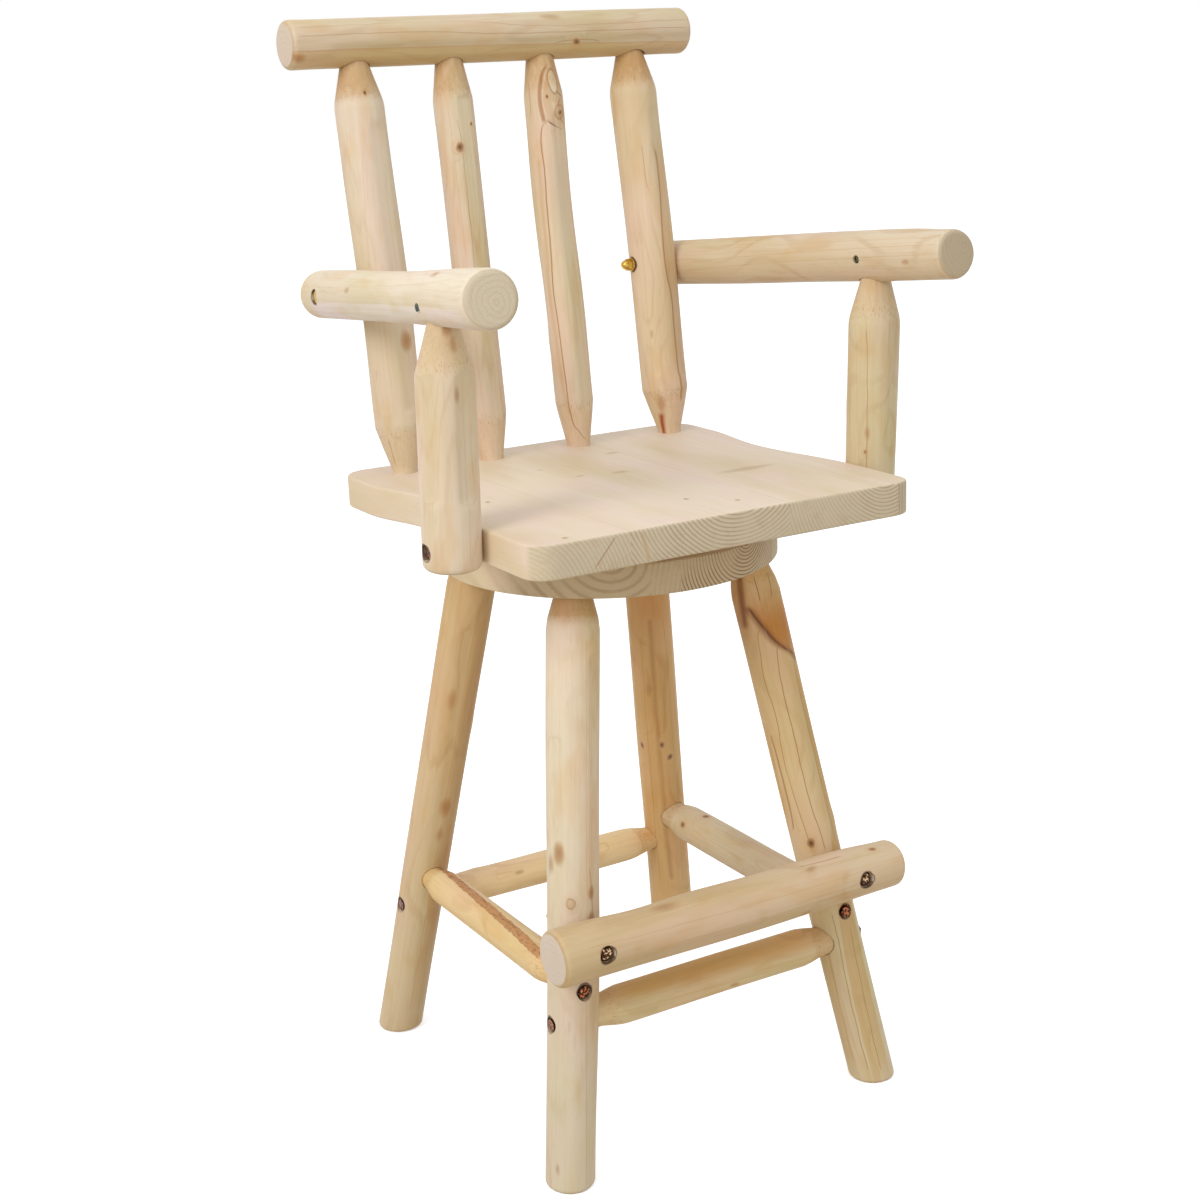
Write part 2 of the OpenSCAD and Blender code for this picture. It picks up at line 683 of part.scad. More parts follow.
module lower_swivel_plate() color(STEEL) translate([0, 0, race_h]) swivel_plate(rivet_d / 2 + seat_gap);

module upper_swivel_plate() color(STEEL)
    translate([0, 0, race_h]) mirror([0, 0, 1]) swivel_plate(rivet_d / 2 + run_fit);

module lower_plate_screws() color(STEEL)
    plate_screws_at() translate([0, 0, disc_top + plate_t + seat_gap]) pan_screw(plate_screw_l);

module upper_plate_screws() color(STEEL)
    plate_screws_at() translate([0, 0, seat_under - plate_t - seat_gap]) rotate([180, 0, 0])
        pan_screw(plate_screw_l);

// The rivet is fast in the lower plate, and the upper plate turns on it
module swivel_rivet() color(STEEL) translate([0, 0, race_h]) union() {
    cylinder(d = rivet_d, h = 2 * web_h + 2 * rivet_slack, center = true);
    translate([0, 0, web_h + rivet_slack]) cylinder(d = rivet_head_d, h = rivet_head_t);
    translate([0, 0, -web_h - seat_gap - rivet_head_t]) cylinder(d = rivet_head_d, h = rivet_head_t);
}

module ball_ring()
    for (i = [0:ball_count - 1])
        rotate([0, 0, 360 * i / ball_count]) translate([race_r, 0, race_h]) children();

module bearing_balls() color(BRIGHT) ball_ring() sphere(r = ball_r);

module ball_cage() color(YELLOW_ZINC) difference() {
    translate([0, 0, race_h - cage_t / 2]) cylinder(r = race_r + cage_w / 2, h = cage_t);
    translate([0, 0, race_h - cage_t]) cylinder(r = race_r - cage_w / 2, h = 2 * cage_t);
    ball_ring() cylinder(r = ball_r + ball_pocket_gap, h = 2 * cage_t, center = true);
}

// Seat and back

module seat_board() color(BOARD) difference() {
    translate([0, 0, seat_under]) linear_extrude(seat_t) polygon(seat_outline);
    for (x = spindle_xs) at_spindle(x) {
        translate([0, 0, -seat_tenon_l - fit]) cylinder(r = seat_tenon_d / 2 + fit, h = seat_tenon_l + over);
        translate([0, 0, screw_sink - seat_slant_l]) rotate([180, 0, 0]) {
            wood_screw(screw_l, bolt_fit);
            cylinder(r = screw_head_d / 2 + bolt_fit, h = over);
        }
    }
    plate_screws_at() translate([0, 0, seat_under - over])
        cylinder(r = screw_d / 2 + bolt_fit, h = plate_screw_l + over);
    for (side = [-1, 1]) at_post_bolt(side) translate([0, 0, -post_d / 2 - seat_grip - 2 * seat_gap])
        cylinder(r = bolt_d / 2 + bolt_fit, h = seat_grip + over);
}

// A spindle stands in its frame: the seat's top is height 0 and the top rail's axis is at spindle_l
module spindle(x, d) color(LOG) difference() {
    at_spindle(x) turned(concat(
        hung(end_points(d / 2, seat_tenon_d / 2, spindle_taper, seat_tenon_l + seat_cone_short, shoulder_r),
            spindle_taper + seat_cone_short),
        raised(rail_end(d), rail_cone_end - spindle_taper)
    ));
    at_spindle(x) translate([0, 0, screw_sink - seat_slant_l]) rotate([180, 0, 0])
        wood_screw(screw_l, bolt_fit);
    at_rail_screw(x) wood_screw(screw_l, bolt_fit);
    if (abs(x) == spindle_outer_x) at_arm_bolt(sign(x)) {
        translate([0, 0, -spindle_outer_d]) cylinder(r = bolt_d / 2 + bolt_fit, h = 2 * spindle_outer_d);
        translate([0, 0, -arm_nut_seat - over]) cylinder(r = recess_r, h = over);
    }
}
function rail_end(d) = end_points(d / 2, rail_tenon_d / 2, spindle_taper, rail_tenon_l, shoulder_r);

module spindle_outer_left() spindle(-spindle_outer_x, spindle_outer_d);
module spindle_inner_left() spindle(-spindle_left_x, spindle_inner_d);
module spindle_inner_right() spindle(spindle_right_x, spindle_inner_d);
module spindle_outer_right() spindle(spindle_outer_x, spindle_outer_d);

module spindle_screws() color(STEEL)
    for (x = spindle_xs)
        at_spindle(x) translate([0, 0, screw_sink - seat_slant_l]) rotate([180, 0, 0]) wood_screw(screw_l, 0);

module top_rail() color(LOG) difference() {
    translate([-rail_l / 2, rail_y, seat_h + rail_rise]) rotate([0, 90, 0])
        bar(rail_d / 2, rail_d / 2, rail_l, rail_ease);
    for (x = spindle_xs) {
        at_spindle(x) translate([0, 0, rail_cone_end - spindle_taper])
            end_hole(abs(x) == spindle_outer_x ? spindle_outer_d / 2 : spindle_inner_d / 2,
                rail_tenon_d / 2, spindle_taper, rail_tenon_l);
        at_rail_screw(x) {
            wood_screw(screw_l, bolt_fit);
            cylinder(r = screw_head_d / 2 + bolt_fit, h = over);
        }
    }
}

// Square to a spindle, through its upper tenon, pointing out of the rail's back
module at_rail_screw(x)
    at_spindle(x) translate([0, 0, spindle_l - rail_screw_low]) rotate([-90, 0, 0])
        translate([0, 0, sqrt(pow(rail_d / 2, 2) - pow(rail_screw_low, 2)) - screw_sink]) children();

module rail_screws() color(STEEL) for (x = spindle_xs) at_rail_screw(x) wood_screw(screw_l, 0);

// Arms

// Along the bolt through arm and spindle, pointing outwards from the spindle's axis
module at_arm_bolt(side)
    translate([side * spindle_outer_x, arm_bolt_y, arm_z_back]) rotate([0, side * 90, 0]) children();

// Along the bolt through post and seat, pointing outwards from the post's axis
module at_post_bolt(side)
    translate([side * post_x, -post_y, seat_h - seat_t / 2]) rotate([0, side * 90, 0]) children();

// Along the screw that locks a post in its arm; both are driven from the same side
module at_arm_screw(side)
    translate([side * post_x, -post_top_y, arm_z_front - arm_screw_low]) rotate([0, -90, 0])
        translate([0, 0, sqrt(pow(arm_r(0), 2) - pow(arm_screw_low, 2)) - screw_sink]) children();

module arm(side) color(LOG) difference() {
    at_arm(side) translate([0, 0, -arm_overhang_front])
        bar(arm_front_d / 2, arm_back_d / 2, arm_l, arm_ease);
    at_spindle(side * spindle_outer_x) cylinder(r = spindle_outer_d / 2 + fit, h = spindle_l - rail_d);
    at_post(side) translate([0, 0, post_cone_end - post_taper])
        end_hole(post_d / 2, post_tenon_d / 2, post_taper, post_tenon_l);
    at_arm_bolt(side) {
        translate([0, 0, -arm_side]) cylinder(r = bolt_d / 2 + bolt_fit, h = 4 * arm_side);
        translate([0, 0, arm_head_seat]) cylinder(r = recess_r, h = recess_l + over);
    }
    at_arm_screw(side) {
        wood_screw(screw_l, bolt_fit);
        cylinder(r = screw_head_d / 2 + bolt_fit, h = over);
    }
}

module arm_left() arm(-1);
module arm_right() arm(1);

module arm_post(side) color(LOG) difference() {
    at_post(side) turned(concat(
        [for (i = [0:arc_steps])
            let (a = 90 * i / arc_steps)
            [post_d / 2 - post_ease * (1 - sin(a)), post_ease * (1 - cos(a)) - seat_t / 2 - post_drop]],
        raised(end_points(post_d / 2, post_tenon_d / 2, post_taper, post_tenon_l, shoulder_r),
            post_cone_end - post_taper)
    ));
    at_arm_screw(side) wood_screw(screw_l, bolt_fit);
    at_post_bolt(side) {
        translate([0, 0, -post_d]) cylinder(r = bolt_d / 2 + bolt_fit, h = 2 * post_d);
        translate([0, 0, post_d / 2 - recess_l]) cylinder(r = recess_r, h = recess_l + over);
    }
}

module arm_post_left() arm_post(-1);
module arm_post_right() arm_post(1);

module arm_bolts() color(YELLOW_ZINC) for (side = [-1, 1])
    at_arm_bolt(side) translate([0, 0, arm_head_seat + washer_t + 2 * seat_gap])
        hex_bolt(arm_head_seat + arm_nut_seat + 2 * washer_t + thread_in_nut);

module arm_washers() color(YELLOW_ZINC) for (side = [-1, 1]) at_arm_bolt(side) {
    translate([0, 0, arm_head_seat + seat_gap]) washer();
    translate([0, 0, -arm_nut_seat - washer_t - seat_gap]) washer();
}

module acorn_nuts() color(YELLOW_ZINC) for (side = [-1, 1])
    at_arm_bolt(side) translate([0, 0, -arm_nut_seat - washer_t - 2 * seat_gap])
        rotate([180, 0, 0]) acorn_nut();

module arm_screws() color(STEEL) for (side = [-1, 1]) at_arm_screw(side) wood_screw(screw_l, 0);

module post_bolts() color(STEEL) for (side = [-1, 1])
    at_post_bolt(side) translate([0, 0, post_d / 2 - recess_l + washer_t + 2 * seat_gap])
        lag_bolt(post_d - recess_l + washer_t + seat_grip);

module post_washers() color(STEEL) for (side = [-1, 1])
    at_post_bolt(side) translate([0, 0, post_d / 2 - recess_l + seat_gap]) washer();

base_disc();
leg_front_left();
leg_front_right();
leg_back_left();
leg_back_right();
leg_screws();
stretcher_front();
stretcher_back();
stretcher_left();
stretcher_right();
stretcher_bolts();
stretcher_washers();
footrest_rail();
footrest_bolts();
footrest_nuts();
footrest_washers();
lower_swivel_plate();
lower_plate_screws();
swivel_rivet();
bearing_balls();
ball_cage();
upper_swivel_plate();
upper_plate_screws();
seat_board();
spindle_outer_left();
spindle_inner_left();
spindle_inner_right();
spindle_outer_right();
spindle_screws();
top_rail();
rail_screws();
arm_left();
arm_right();
arm_post_left();
arm_post_right();
arm_bolts();
arm_washers();
acorn_nuts();
arm_screws();
post_bolts();
post_washers();
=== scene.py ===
import json
import random
from collections import Counter
from functools import partial
from math import acos, atan2, copysign, cos, pi, radians, sin, sqrt

import bpy
import numpy as np
from mathutils import Matrix, Vector


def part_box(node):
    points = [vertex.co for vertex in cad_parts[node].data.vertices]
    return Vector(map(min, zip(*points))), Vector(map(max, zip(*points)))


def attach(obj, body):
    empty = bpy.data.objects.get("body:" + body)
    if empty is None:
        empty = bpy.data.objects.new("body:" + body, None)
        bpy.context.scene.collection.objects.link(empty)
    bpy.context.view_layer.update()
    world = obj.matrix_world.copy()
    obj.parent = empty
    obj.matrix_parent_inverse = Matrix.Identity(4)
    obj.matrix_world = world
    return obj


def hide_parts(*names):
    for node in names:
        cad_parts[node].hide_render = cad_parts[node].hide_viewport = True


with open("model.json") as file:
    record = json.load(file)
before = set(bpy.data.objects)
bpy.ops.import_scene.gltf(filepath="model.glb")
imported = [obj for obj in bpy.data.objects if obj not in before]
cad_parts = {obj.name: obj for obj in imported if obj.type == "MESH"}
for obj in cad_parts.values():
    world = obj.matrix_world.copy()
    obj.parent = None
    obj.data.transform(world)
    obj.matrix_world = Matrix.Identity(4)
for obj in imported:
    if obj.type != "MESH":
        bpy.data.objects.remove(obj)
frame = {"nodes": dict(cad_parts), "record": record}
scene = bpy.context.scene
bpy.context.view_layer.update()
NODES = frame["nodes"]
MM = 0.001
TURN = 2 * pi
UP = np.array([0, 0, 1.0])
norm = np.linalg.norm

# Camera, fitted to the photograph
PHOTO_SIZE = 1200.0
FOCAL = 1978.49
SENSOR = 36
AZIMUTH = radians(-29.950)
ELEVATION = radians(15.675)
ROLL = radians(-2.337)
DISTANCE = 2.39034
SHIFT_RIGHT = -0.01380
SHIFT_UP = 0.00221
TARGET_H = 0.597


def camera_matrix():
    level = cos(ELEVATION)
    back = Vector((sin(AZIMUTH) * level, -cos(AZIMUTH) * level, sin(ELEVATION)))
    right = Vector((cos(AZIMUTH), sin(AZIMUTH), 0))
    up = back.cross(right)
    c, s = cos(ROLL), sin(ROLL)
    right, up = right * c + up * s, up * c - right * s
    m = Matrix((right, up, back)).transposed().to_4x4()
    m.translation = Vector((0, 0, TARGET_H)) + back * DISTANCE + right * SHIFT_RIGHT + up * SHIFT_UP
    return m


CAMERA = camera_matrix()
TO_CAMERA = np.array(CAMERA.translation) - UP * TARGET_H
camera = bpy.data.objects.new("photo_camera", bpy.data.cameras.new("photo_camera"))
camera.data.sensor_width = SENSOR
camera.data.lens = SENSOR * FOCAL / PHOTO_SIZE
camera.data.clip_end = 100
camera.matrix_world = CAMERA
scene.collection.objects.link(camera)
scene.camera = camera


def pixel_ray(px, py):
    """Direction in which the camera sees a pixel of the photograph."""
    half = PHOTO_SIZE / 2
    return CAMERA.to_3x3() @ Vector(((px - half) / FOCAL, (half - py) / FOCAL, -1))


# Reading the CAD solids
SKEW = [0.3, 0.5, 0.8]  # a direction that no log has
FOOT_BAND = 0.0003      # a foot's cut ring lies this close to the floor
BORE_R = 0.012          # rings smaller than this are bores
RING_GAP = 1.1          # a full ring has no gap this wide, in radians
SAME_RING = 0.0004      # rings this close along the axis count as one place


def world_verts(name):
    o = NODES[name]
    co = np.empty(len(o.data.vertices) * 3)
    o.data.vertices.foreach_get("co", co)
    m = np.array(o.matrix_world)
    return co.reshape(-1, 3) @ m[:3, :3].T + m[:3, 3]


def place_keys(v):
    """Each point's index, with points at one place sharing an index."""
    first = {}
    return [first.setdefault(tuple(p), i) for i, p in enumerate(np.round(v * 1e5).astype(int))]


def islands(name):
    """Vertex arrays of the separate solids in a node."""
    v = world_verts(name)
    same = place_keys(v)
    parent = np.arange(len(v))

    def root(i):
        while parent[i] != i:
            parent[i] = parent[parent[i]]
            i = parent[i]
        return i

    for e in NODES[name].data.edges:
        a, b = root(same[e.vertices[0]]), root(same[e.vertices[1]])
        parent[a] = b
    groups = {}
    for i in range(len(v)):
        groups.setdefault(root(same[i]), []).append(i)
    return [v[g] for g in groups.values()]


def long_direction(v):
    """Direction in which the points reach furthest."""
    return np.linalg.svd(v - v.mean(0), full_matrices=False)[2][0]


def circle_centre(p, normal):
    """Centre of the circle that the points lie on, seen along the normal."""
    a = np.cross(normal, SKEW)
    a /= norm(a)
    b = np.cross(normal, a)
    x, y = p @ a, p @ b
    m = np.stack([2 * x, 2 * y, np.ones(len(p))], 1)
    s = np.linalg.lstsq(m, x * x + y * y, rcond=None)[0]
    return a * s[0] + b * s[1] + normal * (p @ normal).mean()


def axis_of(name, level_foot):
    """The axis of a log: its lower, left or front end, its other end and its direction."""
    v = world_verts(name)
    d = long_direction(v)
    d = d * np.sign(d[2 if level_foot else np.argmax(np.abs(d))])
    # each round takes a thinner slice of the two ends, in millimetres
    for reach in (1.2, 0.6, 0.3, 0.15, 0.08, 0.05, 0.05):
        t = v @ d
        low = v[v[:, 2] < FOOT_BAND] if level_foot else v[t < t.min() + reach * MM]
        high = v[t > t.max() - reach * MM]
        if min(len(low), len(high)) < 8:
            break
        a = circle_centre(low, UP if level_foot else d)
        b = circle_centre(high, d)
        d = (b - a) / norm(b - a)
    return a, b, d


def profile_of(name, a, d, level_foot):
    """Distance along the axis and radius of the log's full rings."""
    v = world_verts(name) - a
    t = v @ d
    r = norm(v - np.outer(t, d), axis=1)
    u = np.cross(d, SKEW)
    u /= norm(u)
    ang = np.arctan2(v @ np.cross(d, u), v @ u)
    rings = {}
    for i in np.flatnonzero(r > BORE_R):
        rings.setdefault((round(t[i] * 5000), round(r[i] * 5000)), []).append(i)
    full = []
    for ids in rings.values():
        s = np.sort(ang[ids])
        if max(np.max(np.diff(s), initial=0), s[0] + TURN - s[-1]) < RING_GAP:
            full.append((t[ids].mean(), r[ids].mean()))
    full.sort()
    inner = (full[0][0] + SAME_RING, full[-1][0] - SAME_RING)
    keep = []
    for ti, ri in full:
        widest = max(q[1] for q in full if abs(q[0] - ti) < SAME_RING)
        if ri >= widest - 1e-9 or not inner[0] <= ti <= inner[1]:
            keep.append((ti, ri))
    if level_foot:
        keep.insert(0, (-0.04, keep[0][1]))
    elif keep[0][0] > 0.002:
        keep.insert(0, (0.0, keep[0][1]))
    return np.array(keep)


# Shader nodes. These functions work in the node tree that was opened last.
def open_tree(name, kind=bpy.data.materials):
    global block, tree
    block = kind.new(name)
    block.use_nodes = True
    tree = block.node_tree


def put(socket, value):
    if isinstance(value, bpy.types.NodeSocket):
        tree.links.new(value, socket)
    else:
        short = socket.type == "RGBA" and len(value) == 3
        socket.default_value = (*value, 1) if short else value


def node(kind, inputs=(), **props):
    n = tree.nodes.new("ShaderNode" + kind)
    for k, v in props.items():
        setattr(n, k, v)
    for k, v in dict(inputs).items():
        if v is not None:
            put(n.inputs[k], v)
    return n


def op(kind, *values):
    return node("Math", dict(enumerate(values)), operation=kind).outputs[0]


add, sub, mul, least, most = (partial(op, k) for k in ("ADD", "SUBTRACT", "MULTIPLY", "MINIMUM", "MAXIMUM"))


def gap(a, b=0.0):
    return op("ABSOLUTE", sub(a, b) if b else a)


def choose(here, a, b):
    """Value b where here is 1, and a where it is 0."""
    return add(mul(a, sub(1.0, here)), mul(b, here))


def vec(kind, a, b=None, scale=None):
    n = node("VectorMath", {0: a, 1: b, "Scale": scale}, operation=kind)
    return n.outputs["Value" if kind == "LENGTH" else "Vector"]


def split(vector):
    return node("SeparateXYZ", {0: vector}).outputs


def texture_place(output="Object"):
    return node("TexCoord").outputs[output]


def step(x, lo, hi, a=0.0, b=1.0):
    """Goes smoothly from a to b while x goes from lo to hi."""
    ends = {"Value": x, "From Min": lo, "From Max": hi, "To Min": a, "To Max": b}
    return node("MapRange", ends, interpolation_type="SMOOTHSTEP").outputs[0]


def band(x, middle, lo, hi, strength=1.0):
    """The strength up to lo from the middle, and nothing from hi on."""
    return step(gap(x, middle), lo, hi, strength, 0)


def span(x, start, end, fade):
    """1 between start and end, with ends that fade."""
    return mul(step(x, start - fade, start + fade), step(x, end - fade, end + fade, 1, 0))


def noise(p, stretch, detail=2.0, rough=0.5, output="Fac"):
    inputs = {"Vector": vec("MULTIPLY", p, stretch), "Scale": 1.0, "Detail": detail, "Roughness": rough}
    return node("TexNoise", inputs).outputs[output]


def drift(p, stretch, detail, reach):
    """Vector that wanders by up to half the reach each way."""
    n = vec("SUBTRACT", noise(p, stretch, detail, output="Color"), (0.5, 0.5, 0.5))
    return vec("SCALE", n, scale=reach)


def nearest_marks(co, p, marks, stretches):
    """For each kind of mark, how far the nearest one is, in shares of its radius."""
    co = vec("ADD", co, drift(p, (110, 110, 60), 2, 0.004))
    out = dict.fromkeys(stretches, 9.0)
    for q, r, kind in marks:
        v = vec("MULTIPLY", vec("SUBTRACT", co, tuple(q)), tuple(s / r for s in stretches[kind]))
        out[kind] = least(out[kind], vec("LENGTH", v))
    return out


def mix(fac, a, b, kind="MIX"):
    n = node("Mix", data_type="RGBA", blend_type=kind)
    for i, v in ((0, fac), (6, a), (7, b)):
        put(n.inputs[i], v)
    return n.outputs[2]


def times(a, b):
    return mix(1.0, a, b, "MULTIPLY")


def tint(fac, c, by):
    """The colour c, multiplied by another to the share fac."""
    return mix(fac, c, times(c, by))


def surface(colour, roughness, bump, constant):
    """The open material, with its shader set. The bump is a height, a distance and a strength."""
    shader = tree.nodes["Principled BSDF"]
    n = node("Bump", dict(zip(("Height", "Distance", "Strength"), bump)))
    for k, v in (("Base Color", colour), ("Roughness", roughness), ("Normal", n.outputs[0]), constant):
        put(shader.inputs[k], v)
    return block


def srgb(r, g, b):
    def lin(c):
        c /= 255
        return c / 12.92 if c <= 0.04045 else ((c + 0.055) / 1.055) ** 2.4
    return (lin(r), lin(g), lin(b))


WHITE = (1, 1, 1)
CREAM = srgb(233, 213, 185)
TAN = srgb(221, 198, 159)
PINK = srgb(234, 207, 186)
LATE = srgb(192, 150, 100)
PALE_FIBRE = srgb(246, 226, 208)
KNOT_CORE = srgb(104, 68, 42)
KNOT_RIM = srgb(166, 118, 76)
KNOT_PALE = srgb(206, 174, 132)
AMBER = srgb(196, 148, 96)
STRAW = srgb(176, 140, 100)
HONEY = srgb(160, 112, 64)
RUST = srgb(160, 96, 50)
UMBER = srgb(118, 72, 40)
GREY_BROWN = srgb(150, 122, 92)
WOOD_GLOSS = ("Specular IOR Level", 0.32)


def pine(p, rings, fibre, tone, late, fibres=1.0):
    """Colour of pine from its position, its ring field and its fibre noise."""
    c = mix(step(noise(p, (11, 11, 3), 3), 0.36, 0.66), CREAM, TAN)
    c = mix(step(noise(p, (16, 16, 6), 1), 0.42, 0.7, 0, 0.7), c, PINK)
    c = mix(mul(rings, late), c, LATE)
    c = mix(step(fibre, 0.45, 0.72, 0, 0.12 * fibres), c, LATE)
    c = mix(step(fibre, 0.42, 0.28, 0, 0.12 * fibres), c, PALE_FIBRE)
    return times(c, tone)


# Marks on the logs: how each kind is stretched, and the coats that paint it. A coat has a kind, a place
# in shares of the mark's radius, the reach of its full and of its fading strength, strength and colour.
LOG_MARKS = {"dark": (1, 1, 0.8), "pale": (1, 1, 0.8), "stain": (1, 1, 0.45), "oval": (1, 1, 0.6),
             "hole": (1, 1, 1), "lens": (1, 1, 0.45)}
COATS = (
    ("knot", 0, 0.8, 2.2, 0.3, srgb(208, 164, 114)),
    ("stain", 0, 0.2, 1.15, 0.6, srgb(174, 124, 76)),
    ("oval", 0, 0.5, 1.2, 0.75, srgb(186, 136, 84)),
    ("oval", 0, 0.1, 0.7, 0.5, KNOT_RIM),
    ("lens", 0, 0.75, 1.05, 0.9, srgb(234, 218, 190)),
    ("lens", 1.0, 0.04, 0.2, 0.5, KNOT_RIM),
    ("pale", 0, 0.55, 1.1, 0.6, KNOT_PALE),
    ("pale", 0.85, 0.05, 0.22, 0.45, KNOT_RIM),
    ("pale", 0, 0.05, 0.3, 0.55, KNOT_RIM),
    ("dark", 0, 0.6, 1.0, 0.8, KNOT_RIM),
    ("dark", 0, 0.2, 0.6, 0.85, KNOT_CORE),
    # a hole coat paints a recess wall dark: painted shade, with stain
    ("hole", 0, 0.95, 1.12, 0.85, srgb(70, 42, 26)))
SPECKS = 0.25
SOFT_LINE = 6  # a line wider than this, in millimetres, has soft sides
PLANED_TONE = (0.985, 0.995, 0.965)


def drawn_angle(z, points):
    """Angle round a log, along it, of a line through (place on the axis, angle) points."""
    t0, t1 = points[0][0], points[-1][0]
    lo = min(a for _, a in points) - 0.01
    hi = max(a for _, a in points) + 0.01
    u = node("MapRange", {"Value": z, "From Min": t0, "From Max": t1}).outputs[0]
    n = node("FloatCurve", {"Value": u})
    curve = n.mapping.curves[0]
    place = [((t - t0) / (t1 - t0), (a - lo) / (hi - lo)) for t, a in points]
    curve.points[0].location = place[0]
    curve.points[1].location = place[-1]
    for q in place[1:-1]:
        curve.points.new(*q)
    n.mapping.update()
    return op("MULTIPLY_ADD", n.outputs[0], hi - lo, lo)


def draw(c, log, fields, stroke):
    """The colour c with one line, stretch of bark, strip or shade over it."""
    p, z, ripple, fibre = fields
    kind, points, width, colour, strength = stroke
    off = sub(ripple, drawn_angle(z, points))
    m = span(z, points[0][0], points[-1][0], 0.030 if kind in ("strip", "shade") else 0.004)
    half = width * MM / log.radius / 2
    if kind == "line":
        side = step(gap(off), 0 if width > SOFT_LINE else half * 0.35, half * 1.3, 1, 0)
        side = mul(side, step(fibre, 0.25, 0.5, 0.6, 1))
        paint = colour
    elif kind == "bark":
        rough = noise(p, (330, 330, 120), 3, 0.7)
        reach = add(gap(off), mul(sub(rough, 0.5), half))
        side = step(reach, half * 0.8, half * 1.05, 1, 0)
        paint = mix(step(rough, 0.47, 0.66), colour, srgb(140, 88, 48))
        paint = mix(step(gap(off), half * 0.6, half, 0, 0.5), paint, UMBER)
    else:
        reach = radians(abs(width))
        off = mul(off, copysign(1, width))
        rise = 0.6 if kind == "shade" else 0.03
        side = mul(step(off, 0.0, rise), step(off, reach - 0.15, reach, 1, 0))
        paint = times(c, colour)
    return mix(mul(mul(m, side), strength), c, paint)


def cut_face(co, flat, patchy, R, colour):
    """Colour of a log's cut end: faint growth rings round a pith off the middle, and specks."""
    off_pith = vec("LENGTH", vec("SUBTRACT", flat, (-R * 0.22, R * 0.25, 0)))
    off_pith = add(off_pith, mul(noise(co, (45, 45, 5)), 0.010))
    rings = step(op("SINE", mul(off_pith, TURN / 0.0062)), 0.2, 1.0)
    rings = mul(rings, step(patchy, 0.35, 0.6, 0.2, 1))
    face = tint(mul(rings, 0.26), colour, (0.80, 0.68, 0.52))
    return mix(step(noise(co, (700, 700, 60)), 0.5, 0.7, 0, 0.16), face, srgb(160, 130, 96))


